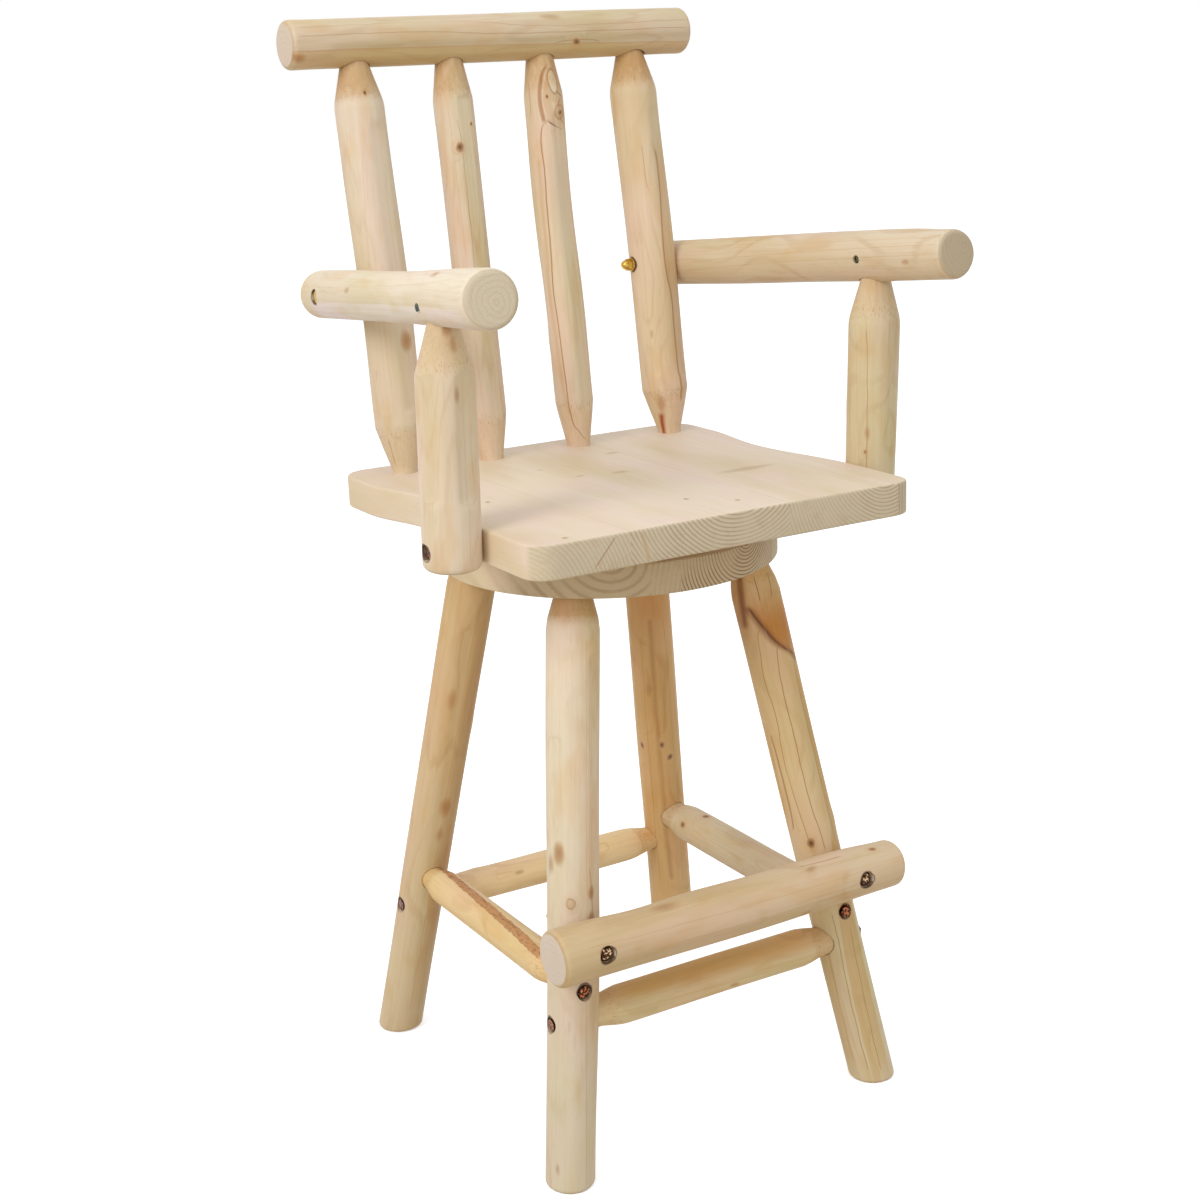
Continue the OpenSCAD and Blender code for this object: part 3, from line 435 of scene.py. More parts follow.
def log_wood(log, spec):
    open_tree("wood_" + log.name)
    R, seed = log.radius, log.seed
    co = texture_place()
    p = vec("ADD", co, (seed * 1.7, seed * 0.9, seed * 3.1))
    x, y, z = split(co)
    flat = vec("MULTIPLY", vec("ADD", co, drift(p, (2, 2, 5), 1, 0.022)), (1, 1, 0))
    fibre = noise(p, (240, 240, 6), 4, 0.65)
    streak = noise(p, (85, 85, 2.4), 3, 0.6)
    patchy = noise(p, (26, 26, 7))
    nearest = nearest_marks(co, p, log.marks, LOG_MARKS)
    knot = nearest["knot"] = least(nearest["dark"], nearest["pale"])

    # whittled cones and their shoulders, where a log has them
    on_cone = on_shoulder = 0.0
    for end, outward in zip(log.cones, (-1, 1)):
        if end is not None:
            past = sub(mul(z, outward), end * outward)
            on_cone = most(on_cone, step(past, -0.002, 0.010))
            on_shoulder = most(on_shoulder, band(past, 0.006, 0.002, 0.013))

    # growth rings, pushed out round the knots and fainter on the cones
    field = add(vec("LENGTH", flat), mul(step(knot, 0.4, 3.2, 1, 0), 0.0055))
    field = add(field, mul(fibre, 0.0012))
    rings = step(op("SINE", mul(field, TURN / (spec["ring"] * MM))), 0.45, 1.0)
    rings = mul(rings, sub(1.0, mul(on_cone, 0.65)))
    rings = mul(rings, step(patchy, 0.38, 0.62, 0.1, 1.0))

    c = pine(p, rings, fibre, spec["tone"], spec["late"])
    c = tint(step(streak, 0.52, 0.7, 0, 0.2), c, (0.94, 0.82, 0.66))
    c = tint(step(streak, 0.46, 0.3, 0, 0.2), c, (1.03, 1.02, 1.04))
    c = tint(step(noise(p, (34, 34, 13)), 0.5, 0.7, 0, 0.6), c, (0.96, 0.84, 0.67))
    specks = step(noise(p, (560, 560, 44), 1), 0.63, 0.70)
    specks = mul(specks, step(patchy, 0.42, 0.6, 0.12, 0.5))
    c = mix(mul(specks, SPECKS), c, GREY_BROWN)

    # planed strips show paler wood, and what is drawn follows the grain
    sway = sub(noise(p, (0, 0, 22)), 0.5)
    ripple = add(op("ARCTAN2", y, x), mul(sway, 0.0035 / R))
    for deg, depth, t0, t1 in spec["facets"]:
        half = acos(1 - depth * MM / R)
        m = band(ripple, radians(deg), half - 0.035, half)
        m = mul(m, span(z, t0 * log.length + 0.015, t1 * log.length - 0.015, 0.015))
        c = tint(m, c, PLANED_TONE)
    for stroke in log.strokes:
        c = draw(c, log, (p, z, ripple, fibre), stroke)
    for kind, place, full, fade, strength, colour in COATS:
        c = mix(band(nearest[kind], place, full, fade, strength), c, colour)

    # painted shade and stain: the top end darkens towards the neighbour that it is let into
    start = log.cones[1]
    if start is not None:
        shade_and_stain_near_joint = add(step(z, start - 0.010, start + 0.008, 0, 0.62),
                         step(z, start, log.length - spec["buried"], 0, 0.5))
        shade_and_stain_near_joint = mul(shade_and_stain_near_joint, step(noise(p, (180, 180, 60)), 0.3, 0.6, 0.7, 1.0))
        c = tint(mul(shade_and_stain_near_joint, spec["tip"]), c, (0.78, 0.64, 0.46))
    c = tint(mul(on_cone, 0.55), c, (0.99, 0.93, 0.83))
    shreds = add(mul(on_cone, 0.22), mul(on_shoulder, 0.55))
    shreds = mul(shreds, step(noise(p, (640, 640, 90), 3, 0.7), 0.55, 0.68))
    c = mix(shreds, c, srgb(166, 124, 80))
    if log.name.startswith("spindle"):
        c = mix(step(z, 0.0022, 0.0045, 0.55, 0), c, srgb(206, 172, 116))

    # sawn ends, with a darker line round them
    facing = gap(split(texture_place("Normal"))[2])
    face = cut_face(co, flat, patchy, R, spec["end"])
    c = mix(mul(step(facing, 0.88, 0.97), 0.95), c, face)
    edge = mul(step(facing, 0.5, 0.8), step(facing, 0.86, 0.97, 1, 0))
    c = mix(mul(edge, 0.35), c, srgb(158, 136, 104))
    # painted shade and light along the log: its two ends tinted by shade, between the places in span
    c = times(c, mix(step(z, *(log.length * t for t in spec["span"])), *spec["shade"]))

    fine = noise(p, (900, 900, 26), 2, 0.6)
    h = sub(add(mul(fibre, 0.8), mul(fine, 0.35)), mul(rings, 0.15))
    h = add(h, step(knot, 0.2, 1.3, 0.9, 0))
    return surface(c, step(fibre, 0.3, 0.7, 0.5, 0.64), (h, 0.0006, 0.7), WOOD_GLOSS)


# Boards: glued planks along Y, each with its left edge, the x and z of its pith, its ring spacing and the
# contrast of its end grain. A stroke on the end grain runs from x0, z0 to x1, z1 and has a width, a colour
# and a strength. All lengths are in metres.
BOARD_MARKS = {"dark": (1, 0.8, 1), "patch": (0.24, 1, 1), "spot": (0.6, 1, 1)}


def board_wood(name, planks, seed, tone, late, end_colour, marks=(), strokes=()):
    open_tree("wood_" + name)
    co = texture_place()
    across, along, up = split(vec("ADD", co, (seed, seed * 2, seed * 3)))
    p = node("CombineXYZ", {0: across, 1: up, 2: along}).outputs[0]
    x, _, z = split(co)
    wander = split(drift(p, (9, 9, 3), 1, 0.016))
    field, joint, hue, contrast = None, 1.0, 0.5, planks[0][-1]
    for i, (left, pith_x, pith_z, spacing, own_contrast) in enumerate(planks):
        dx = add(sub(x, pith_x), wander[0])
        dz = add(sub(z, pith_z), wander[1])
        r = mul(op("SQRT", add(mul(dx, dx), mul(dz, dz))), 1 / spacing)
        if field is None:
            field = r
            continue
        here = op("GREATER_THAN", x, left)
        field = choose(here, field, r)
        hue = choose(here, hue, (i * 0.37) % 1.0)
        contrast = choose(here, contrast, own_contrast)
        joint = least(joint, gap(x, left))
    fibre = noise(p, (300, 300, 7), 3, 0.6)
    streak = noise(p, (60, 60, 3.0), 3, 0.6)
    nearest = nearest_marks(co, p, marks, BOARD_MARKS)
    dark = nearest["dark"]
    stain = least(nearest["patch"], nearest["spot"])
    field = add(add(field, mul(fibre, 0.2)), step(dark, 0.4, 3.5, 0.8, 0))
    rings = step(op("SINE", mul(field, TURN)), 0.1, 0.9)
    rings = mul(rings, step(noise(p, (20, 20, 5)), 0.3, 0.6, 0.35, 1.0))
    c = pine(p, rings, fibre, tone, late, 0.5)
    c = mix(mul(hue, 0.15), c, TAN)
    c = tint(step(streak, 0.52, 0.7, 0, 0.12), c, (0.92, 0.84, 0.72))
    c = mix(step(stain, 0.3, 1.15, 0.55, 0), c, srgb(188, 152, 112))
    c = mix(step(dark, 0.5, 1.05, 0.7, 0), c, srgb(188, 150, 110))
    c = mix(step(dark, 0.15, 0.5, 0.7, 0), c, KNOT_RIM)
    c = mix(step(joint, 0.0003, 0.0009, 0.16, 0), c, srgb(150, 112, 74))

    # end grain shows on the faces across the fibres
    n_y = gap(split(texture_place("Normal"))[1])
    grain = mix(mul(rings, contrast), end_colour, srgb(134, 98, 62))
    grain = mix(step(noise(co, (800, 800, 800)), 0.35, 0.65, 0.0, 0.12), grain, srgb(150, 122, 90))
    grain = mix(step(streak, 0.5, 0.7, 0, 0.2), grain, srgb(176, 144, 104))
    for x0, z0, x1, z1, width, colour, strength in strokes:
        off = sub(sub(x, x0), mul(sub(z, z0), (x1 - x0) / (z1 - z0)))
        m = mul(step(gap(off), width * 0.3, width, 1, 0), span(z, z1, z0, 0.003))
        grain = mix(mul(m, strength), grain, colour)
    c = mix(mul(step(n_y, 0.25, 0.6), 0.92), c, grain)
    h = sub(mul(fibre, 0.6), mul(rings, 0.2))
    return surface(c, step(fibre, 0.3, 0.7, 0.5, 0.64), (h, 0.0004, 0.5), WOOD_GLOSS)


def metal(name, colour, rough, spots, painted_reflection_colour, edge=(0.45, 0.75), scale=420):
    """Plated steel, with spots of a second colour where fine noise passes the edge: the spots are painted
    reflections and glints.
    """
    open_tree(name)
    co = texture_place()
    n = noise(co, (scale, scale, scale), 3, 0.6)
    c = mix(step(n, *edge, 0, spots), colour, painted_reflection_colour)
    worn = step(noise(co, (70, 70, 70)), 0.3, 0.7, rough * 0.8, rough * 1.2)
    return surface(c, worn, (n, 0.00008, 0.4), ("Metallic", 1.0))


# Meshes
def new_object(name, verts, faces, matrix=None):
    mesh = bpy.data.meshes.new(name)
    mesh.from_pydata([tuple(v) for v in verts], [], faces)
    mesh.update()
    o = bpy.data.objects.new(name, mesh)
    scene.collection.objects.link(o)
    if matrix is not None:
        o.matrix_world = matrix
    return o


def stacked(rings):
    """Closed skin over a stack of rings with equal counts: its points and faces."""
    n, k = len(rings), len(rings[0])
    verts = [p for ring in rings for p in ring]
    faces = []
    for i in range(n - 1):
        for j in range(k):
            q = (j + 1) % k
            faces.append((i * k + j, i * k + q, (i + 1) * k + q, (i + 1) * k + j))
    faces.append(tuple(range(k - 1, -1, -1)))
    faces.append(tuple((n - 1) * k + j for j in range(k)))
    return verts, faces


def basis(d, near):
    """Axes of a frame whose z is d and whose x is as near as can be to the second direction."""
    d = np.asarray(d, float)
    x = np.asarray(near, float) - d * np.dot(near, d)
    x /= norm(x)
    return x, np.cross(d, x)


def lathe(a, d, profile, segments=40):
    """Rings round an axis, from (place on the axis, radius) pairs."""
    x, y = basis(d, [0.31, 0.52, 0.79])
    turn = np.linspace(0, TURN, segments, endpoint=False)
    return [[a + d * t + (x * cos(s) + y * sin(s)) * r for s in turn] for t, r in profile]


def cylinder(a, d, r, length, segments=40):
    return lathe(a, d, [(0, r), (length, r)], segments)


def carve(o, parts):
    """Cut closed stacks of rings out of an object."""
    if not parts:
        return
    verts, faces = [], []
    for rings in parts:
        v, f = stacked(rings)
        faces += [tuple(i + len(verts) for i in face) for face in f]
        verts += v
    cutter = new_object("cutter", verts, faces)
    m = o.modifiers.new("cut", "BOOLEAN")
    m.operation = "DIFFERENCE"
    m.solver = "EXACT"
    m.object = cutter
    bpy.context.view_layer.update()
    done = bpy.data.meshes.new_from_object(o.evaluated_get(bpy.context.evaluated_depsgraph_get()))
    o.modifiers.clear()
    o.data = done
    bpy.data.objects.remove(cutter)


def smooth(o, degrees):
    mesh = o.data
    mesh.polygons.foreach_set("use_smooth", [True] * len(mesh.polygons))
    mesh.set_sharp_from_angle(angle=radians(degrees))
    mesh.update()


class Log:
    """A log's axis, radii and own frame, measured on its CAD solid."""

    def __init__(self, name, spec, seed):
        self.name = name
        self.seed = seed
        self.level_foot = name.startswith("leg_")
        self.a, self.b, self.d = axis_of(name, self.level_foot)
        self.profile = profile_of(name, self.a, self.d, self.level_foot)
        self.length = float(norm(self.b - self.a))
        self.radius = float(self.profile[:, 1].max())
        x, y = basis(self.d, TO_CAMERA)
        self.matrix = Matrix((x, y, self.d)).transposed().to_4x4()
        self.matrix.translation = Vector(self.a)
        full = self.profile[self.profile[:, 1] > self.radius * 0.93]
        lo, hi = self.full = (full[:, 0].min(), full[:, 0].max())
        self.cones = (lo if spec["whittle"] and lo > 0.02 and not self.level_foot else None,
                      hi if spec["whittle"] and hi < self.length - 0.02 else None)

    def r_at(self, t):
        return np.interp(t, self.profile[:, 0], self.profile[:, 1])

    def spot(self, px, py):
        """Point on the log that the photograph shows at a pixel, in the log's own frame."""
        inv = self.matrix.inverted()
        o = inv @ CAMERA.translation
        v = (inv.to_3x3() @ pixel_ray(px, py)).normalized()
        r = self.radius
        for _ in range(3):
            qa = v.x ** 2 + v.y ** 2
            qb = o.x * v.x + o.y * v.y
            inside = qb * qb - qa * (o.x ** 2 + o.y ** 2 - r * r)
            hit = o + v * ((-qb - sqrt(max(inside, 0))) / qa)
            r = float(self.r_at(hit.z))
        return hit


# Cuts for fasteners and neighbours: clearances, beds under washers and bolt heads, lengths, and the reach of
# the painted shade and stain on recess walls
RECESS_CLEAR = 1.0 * MM
RECESS_SHADE_STAIN = 0.6 * MM
RECESS_L = 0.06
WASHER_BED = 0.15 * MM
BOLT_BED = 4.6 * MM
BOLT_RECESS_L = 0.04
BOLT_SHADE_STAIN = 1.8 * MM
SCREW_CLEAR = 0.3 * MM
HEAD_L = 0.02
SOCKET_CLEAR = 0.5 * MM
TENON_CLEAR = 0.6 * MM
TENON_L = 0.09
TENON_SHORT = 0.001
NOSE_L = 0.045
NOSE_REACH = 0.06  # a nose is in the leg whose axis is nearer than this
UNDER_FLOOR = 0.2


def fastener_cuts(log):
    """Recesses for the washers that sit in this log, and the painted shade and stain on their walls."""
    parts, marks = [], []
    for washers in ("stretcher_washers", "footrest_washers", "arm_washers", "post_washers"):
        for v in islands(washers):
            lo, hi = v.min(0), v.max(0)
            c, size = (lo + hi) / 2, hi - lo
            t = np.dot(c - log.a, log.d)
            off = c - (log.a + log.d * t)
            away = norm(off)
            in_log = -0.002 < t < log.length + 0.002 and away < log.r_at(t) + 0.002
            if not in_log or away < log.radius * 0.45:
                continue
            k = int(np.argmin(size))
            axis = np.zeros(3)
            axis[k] = np.sign(off[k])
            r = float(np.sort(size)[-1] / 2) + RECESS_CLEAR
            parts.append(cylinder(c - axis * (size[k] / 2 + WASHER_BED), axis, r, RECESS_L))
            rim = c - off + off * (float(log.r_at(t)) / away)
            marks.append((log.matrix.inverted() @ Vector(rim), r + RECESS_SHADE_STAIN, "hole"))
    return parts, marks


def bolt_cuts(log):
    """Recesses for the footrest's bolts, and the painted shade and stain on their walls."""
    parts, marks = [], []
    for v in islands("footrest_bolts"):
        (x0, y0, z0), (x1, _, z1) = v.min(0), v.max(0)
        x, z, r = (x0 + x1) / 2, (z0 + z1) / 2, (x1 - x0) / 2
        bottom = np.array([x, y0 + BOLT_BED, z])
        parts.append(cylinder(bottom, np.array([0, -1.0, 0]), r + RECESS_CLEAR, BOLT_RECESS_L))
        rim = Vector((x, log.a[1] - log.radius * 0.96, z))
        marks.append((log.matrix.inverted() @ rim, r + BOLT_SHADE_STAIN, "hole"))
    return parts, marks


def head_holes(screws, depth=SCREW_CLEAR, length=HEAD_L, r=None, segments=28, log=None):
    """Holes round the heads of screws, from depth under their tops, for one log or for all."""
    parts = []
    for v in islands(screws):
        middle, d = v.mean(0), long_direction(v)
        t = (v - middle) @ d
        off = norm((v - middle) - np.outer(t, d), axis=1)
        if off[t > 0].max() < off[t < 0].max():
            d, t = -d, -t
        top = middle + d * t.max()
        if log:
            s = np.dot(top - log.a, log.d)
            if norm(top - log.a - log.d * s) > log.radius * 1.1 or not 0 < s < log.length:
                continue
        parts.append(cylinder(top - d * depth, d, r or off.max() + SCREW_CLEAR, length, segments))
    return parts


def grown(log, t0, t1, grow):
    """Rings round a log between two places on its axis, larger by grow, to cut its neighbour."""
    ts = [t0] + [t for t in log.profile[:, 0] if t0 < t < t1] + [t1]
    return lathe(log.a, log.d, [(t, float(log.r_at(t)) + grow) for t in ts], 56)


def grown_top(log, grow, reach=TENON_L, short=TENON_SHORT):
    return grown(log, log.length - reach, log.length - short, grow)


# Lofting the logs
SEGMENTS = 72
RING_STEP = 0.0045
FOOT_ROUND = 0.005
LUMP = 0.9 * MM
WHITTLE_DEPTH = 0.45 * MM
WHITTLE_COUNT = 11
PHASE = 6.28


def stations(log):
    """Places on the axis where a log gets a ring: all of the CAD profile's, and steps between."""
    exact = set(log.profile[:, 0].tolist())
    ts = exact | set(np.arange(log.profile[0, 0], log.profile[-1, 0], RING_STEP).tolist())
    if log.level_foot:
        ts |= set(np.arange(-0.018, 0.03, 0.0015).tolist())
    ts = sorted(ts)
    slim = [ts[0]]
    for t in ts[1:]:
        if t - slim[-1] > 0.0012 or t in exact:
            slim.append(t)
    return np.array(slim)


def ramp(x):
    return np.clip(x, 0, 1)


def loft(log, spec):
    """The log's mesh: its CAD profile with lumps, whittled and planed flats, knots, dents and a bend."""
    rnd = random.Random(log.seed * 97 + 5)
    waves = [(rnd.uniform(5, 26), rnd.choice((1, 2, 2, 3, 3, 4)), rnd.uniform(0, PHASE),
              rnd.uniform(0, PHASE)) for _ in range(7)]
    T, A = np.meshgrid(stations(log), np.linspace(0, TURN, SEGMENTS, endpoint=False), indexing="ij")
    share = ramp(T / log.length)
    g0, g1 = spec["grow"]
    base = np.interp(T, log.profile[:, 0], log.profile[:, 1]) * (g0 + (g1 - g0) * share)
    lump = sum(np.sin(w * T + c + k * A + q) for w, k, c, q in waves) / 7
    free0, free1 = log.full
    mask = ramp((T - free0) / 0.03) * ramp((free1 - T) / 0.03)
    mask = mask * mask * (3 - 2 * mask)
    R = base + lump * LUMP * (0.25 + 0.75 * mask)
    # whittled flats on the tapered ends
    shrink = ramp((log.radius * 0.985 - base) / (log.radius * 0.25)) * spec["whittle"]
    facet = A * WHITTLE_COUNT / TURN + np.sin(3 * A + log.seed) * 0.35 + log.seed * 0.37
    flat = np.abs(facet - np.floor(facet) - 0.5) * 2
    R = R - (1 - flat ** 2) * WHITTLE_DEPTH * shrink
    # planed strips
    for deg, depth, t0, t1 in spec["facets"]:
        c = np.cos(A - radians(deg))
        plane = (log.radius - depth * MM) / np.maximum(c, 0.2)
        along = ramp((T - t0 * log.length) / 0.05) * ramp((t1 * log.length - T) / 0.05)
        plane = plane + (1 - along) * 0.02
        R = np.where(c > 0.2, np.minimum(R, np.maximum(plane, R * 0.9)), R)
    # swellings round the knots
    for q, r, kind in log.marks:
        if kind in ("dark", "pale"):
            d2 = (R * np.cos(A) - q[0]) ** 2 + (R * np.sin(A) - q[1]) ** 2 + ((T - q[2]) * 0.7) ** 2
            R = R + np.exp(-d2 / (1.5 * r) ** 2) * (0.9 if kind == "dark" else 1.3) * MM * (0.2 + 0.8 * mask)
    R = R - np.sin(pi * share) ** 2 * spec["waist"] * MM
    for deg, at, depth, width in spec["dents"]:
        toward = ramp(np.cos(A - radians(deg))) ** 2
        R = R - depth * MM * toward * np.exp(-((T / log.length - at) / width) ** 2)
    if log.level_foot:
        # the foot's lower edge is rounded over
        m = np.array(log.matrix)[2]
        height = m[0] * R * np.cos(A) + m[1] * R * np.sin(A) + m[2] * T + m[3]
        k = ramp(1 - height / FOOT_ROUND)
        R = R - FOOT_ROUND * (1 - np.sqrt(1 - k * k))
    way = ramp((T - free0) / (free1 - free0))
    bow, s_bow = np.sin(pi * way), np.sin(TURN * way)
    bx, by, sx, sy = spec["bend"]
    x0, x1, y0, y1 = spec["lean"]
    e0, e1 = spec["longer"]
    X = R * np.cos(A) + (bow * bow * bx + s_bow * bow * sx + x0 + (x1 - x0) * share) * MM
    Y = R * np.sin(A) + (bow * bow * by + s_bow * bow * sy + y0 + (y1 - y0) * share) * MM
    Z = T - e0 * MM * ramp(1 - T / 0.05) + e1 * MM * ramp(1 - (log.length - T) / 0.05)
    verts, faces = stacked([list(zip(*ring)) for ring in zip(X, Y, Z)])
    return new_object("log_" + log.name, verts, faces, log.matrix)


# How each log differs from a plain one, in millimetres and shares of its length. late and ring are the
# strength and spacing of its growth rings. shade tints its two ends, between the places in span, with
# painted shade and light, tip darkens its tapered top with painted shade and stain, and end is the colour
# of a sawn end. Angles run round the log, in degrees from the camera's side. A facet has an angle, a
# depth and two ends, a dent an angle, a place, a depth and a width. A spot has its pixel in the
# photograph, a radius and a kind of mark.
PLAIN = dict(spots={}, facets=(), dents=(), bend=(0, 0, 0, 0), lean=(0, 0, 0, 0), grow=(1.0, 1.0),
             longer=(0, 0), waist=0, whittle=True, shade=(WHITE, WHITE), span=(0.0, 1.0), tip=0.3,
             late=0.2, ring=2.8, buried=0.03, end=srgb(220, 200, 170))
SPECS = {
    "leg_front_left": dict(
        tip=1.4, buried=0.045, tone=(1.0, 1.01, 1.02), shade=((0.82, 0.83, 0.78), WHITE),
        grow=(0.955, 1.03), late=0.14, ring=3.4, bend=(0, 1.5, 0, 1), lean=(0, 0, -1, 0),
        facets=[(62, 2.2, 0.05, 0.93), (-38, 1.6, 0.1, 0.8)],
        spots=dict(knot=(558, 854, 9, "oval"), ring_knot=(571, 904, 5.5, "pale"),
                   edge_knot=(592, 893, 6, "oval"), under_knot=(550, 864, 6, "stain"),
                   foot=(557, 1170, 4, "stain"), low_edge_knot=(592, 920, 7, "oval"))),
    "leg_front_right": dict(
        tip=0.0, tone=(0.93, 0.87, 0.71), shade=((0.93, 1.0, 1.04), (0.97, 0.88, 0.74)),
        grow=(0.92, 0.975), ring=2.6, bend=(0, -1, 0, 0), lean=(0, 0, -2.6, 0),
        facets=[(48, 1.8, 0.1, 0.85), (-30, 1.6, 0.15, 0.8)],
        spots=dict(knot=(811, 843, 6, "dark"), edge_knot=(837, 815, 6, "dark"), pocket=(785, 626, 4, "stain"),
                   under_pocket=(790, 648, 5, "stain"))),
    "leg_back_left": dict(
        tone=(0.79, 0.75, 0.63), shade=(WHITE, (1.02, 0.89, 0.72)), grow=(0.94, 1.0),
        late=0.22, ring=3.0, facets=[(20, 1.8, 0.1, 0.9), (-45, 1.6, 0.05, 0.9)],
        spots=dict(knot=(446, 808, 9, "oval"), high=(452, 700, 8, "stain"), low=(440, 835, 6, "stain"))),
    # painted shade: the dark orange tone and the darker top of shade stand for the shade under the disc, with
    # some stain; the paler bottom of shade is painted light
    "leg_back_right": dict(
        tone=(0.86, 0.63, 0.36), shade=((1.07, 1.15, 1.32), (0.96, 0.88, 0.78)),
        span=(0.70, 0.90), grow=(0.96, 0.96), late=0.34, ring=2.6,
        facets=[(-15, 1.8, 0.2, 0.8), (45, 1.8, 0.1, 0.8)],
        spots=dict(left_knot=(642, 745, 5, "dark"), right_knot=(662, 745, 5, "dark"),
                   low_knot=(670, 757, 5, "dark"), high=(648, 690, 6, "stain"))),
    "stretcher_front": dict(
        tone=(0.94, 0.89, 0.70), facets=[(30, 1.5, 0.1, 0.9)], spots=dict(middle=(735, 985, 4, "stain"))),
    # painted light: the tone, brighter than plain wood, lights a stretcher that lies in shade
    "stretcher_back": dict(
        tone=(1.15, 1.07, 0.84), late=0.24, facets=[(-20, 1.5, 0.1, 0.9)],
        spots=dict(middle=(520, 872, 4, "stain"))),
    "stretcher_left": dict(tone=(1.03, 0.93, 0.68), late=0.28, ring=2.4),
    "stretcher_right": dict(
        tone=(0.86, 0.84, 0.74), late=0.22, facets=[(10, 1.5, 0.1, 0.9)],
        spots=dict(left_knot=(683, 825, 5, "dark"), right_knot=(706, 817, 5, "dark"))),
    "footrest_rail": dict(
        end=srgb(214, 196, 178), tone=(0.87, 0.80, 0.69), ring=2.9, whittle=False,
        bend=(0, 1.5, 0, -1.5), facets=[(50, 1.8, 0.1, 0.8), (-40, 1.4, 0.3, 0.95)],
        dents=[(-90, 0.24, 4.2, 0.12), (-90, 1.0, 4.5, 0.13), (90, 1.0, 0.5, 0.1)],
        spots=dict(top=(811, 868, 5, "stain"), right_knot=(872, 848, 5, "dark"), low=(806, 912, 5, "stain"),
                   middle=(665, 905, 10, "stain"))),
    "spindle_outer_left": dict(
        tip=1.45, tone=(0.92, 0.93, 0.94), late=0.14, ring=3.6, bend=(0, 2, 0, 1), lean=(0, 0, 5, 0),
        facets=[(40, 1.8, 0.1, 0.9), (-20, 1.3, 0.1, 0.9)],
        spots=dict(top=(365, 93, 3, "dark"), arm_knot=(405, 341, 9, "oval"), low=(375, 375, 4, "stain"))),
    "spindle_inner_left": dict(
        tip=0.85, tone=(0.89, 0.88, 0.86), ring=3.0, facets=[(36, 1.8, 0.05, 0.95)],
        spots=dict(knot=(460, 147, 6, "dark"), high_knot=(471, 124, 2, "dark"))),
    "spindle_inner_right": dict(
        tip=0.85, tone=(0.91, 0.88, 0.82), late=0.16, ring=2.6, bend=(0, -1.5, 0, 2),
        facets=[(45, 2.4, 0.0, 0.9)],
        spots=dict(whorl=(559, 112, 8, "pale"), whorl_eye=(560, 112, 3.5, "dark"),
                   eye=(547, 96.5, 2.5, "dark"), pale_lens=(552.5, 81, 7, "lens"))),
    "spindle_outer_right": dict(
        tip=1.2, tone=(0.93, 0.89, 0.84), ring=3.0, bend=(0, 1.5, 0, 0), lean=(0, 0, 5, -2),
        facets=[(52, 1.8, 0.1, 0.9), (-20, 1.2, 0.1, 0.8)],
        spots=dict(middle=(651, 334, 4, "stain"), shoulder=(661, 405, 8, "stain"), low=(652, 374, 2, "stain"),
                   foot_knot=(677, 425, 2, "dark"))),
    "top_rail": dict(
        end=srgb(214, 194, 174), tone=(0.85, 0.84, 0.79), late=0.22, whittle=False,
        grow=(0.975, 0.975), lean=(0, 0, 0.6, 0.6), longer=(2, -4),
        facets=[(38, 2.2, 0.0, 1.1), (-40, 1.8, 0.0, 1.1)],
        spots=dict(left_knot=(297, 58, 7, "oval"), knot=(577, 42, 5, "dark"), top=(550, 15, 8, "stain"))),
    "arm_left": dict(
        tone=(0.96, 1.0, 1.03), late=0.12, ring=3.2, whittle=False, longer=(3, 6), waist=2.0,
        end=srgb(214, 198, 170), lean=(0, 0, 4, 0),
        spots=dict(front=(436, 275, 6, "stain"), back=(345, 290, 5, "stain"))),
    "arm_right": dict(
        end=srgb(194, 174, 144), tone=(0.86, 0.84, 0.80), late=0.26, ring=2.6, whittle=False,
        grow=(0.96, 1.0), dents=[(90, 0.0, 3.5, 0.09)], lean=(0, 0, -1, -5),
        facets=[(30, 1.4, 0.2, 0.9), (-35, 1.4, 0.1, 0.9)],
        spots=dict(front=(963, 271, 4, "stain"), over_post=(905, 262, 4, "stain"))),
    "arm_post_left": dict(
        tip=0.2, tone=(0.96, 0.95, 0.98), late=0.16, ring=3.2, grow=(1.03, 1.03),
        facets=[(45, 2.0, 0.1, 0.9), (-30, 1.5, 0.1, 0.9)],
        spots=dict(cone=(447, 330, 6, "stain"), edge=(478, 362, 5, "stain"), low=(457, 395, 5, "stain"),
                   under_cone=(453, 345, 6, "stain"))),
    "arm_post_right": dict(
        tip=0.1, tone=(0.86, 0.86, 0.76), grow=(0.94, 0.98), lean=(0, 0, -1.5, 0),
        facets=[(42, 2.2, 0.05, 0.95)], spots=dict(high=(867, 434, 5, "stain"), knot=(865, 452, 3, "dark"))),
}


# What the photograph shows drawn along each log: strokes with a width, a colour, a strength and a path
# in its pixels. A line or bark has its width in millimetres. A strip or shade reaches from its path so
# many degrees round the log.
def stroke(kind):
    return lambda width, colour, strength, *path: (kind, path, width, colour, strength)


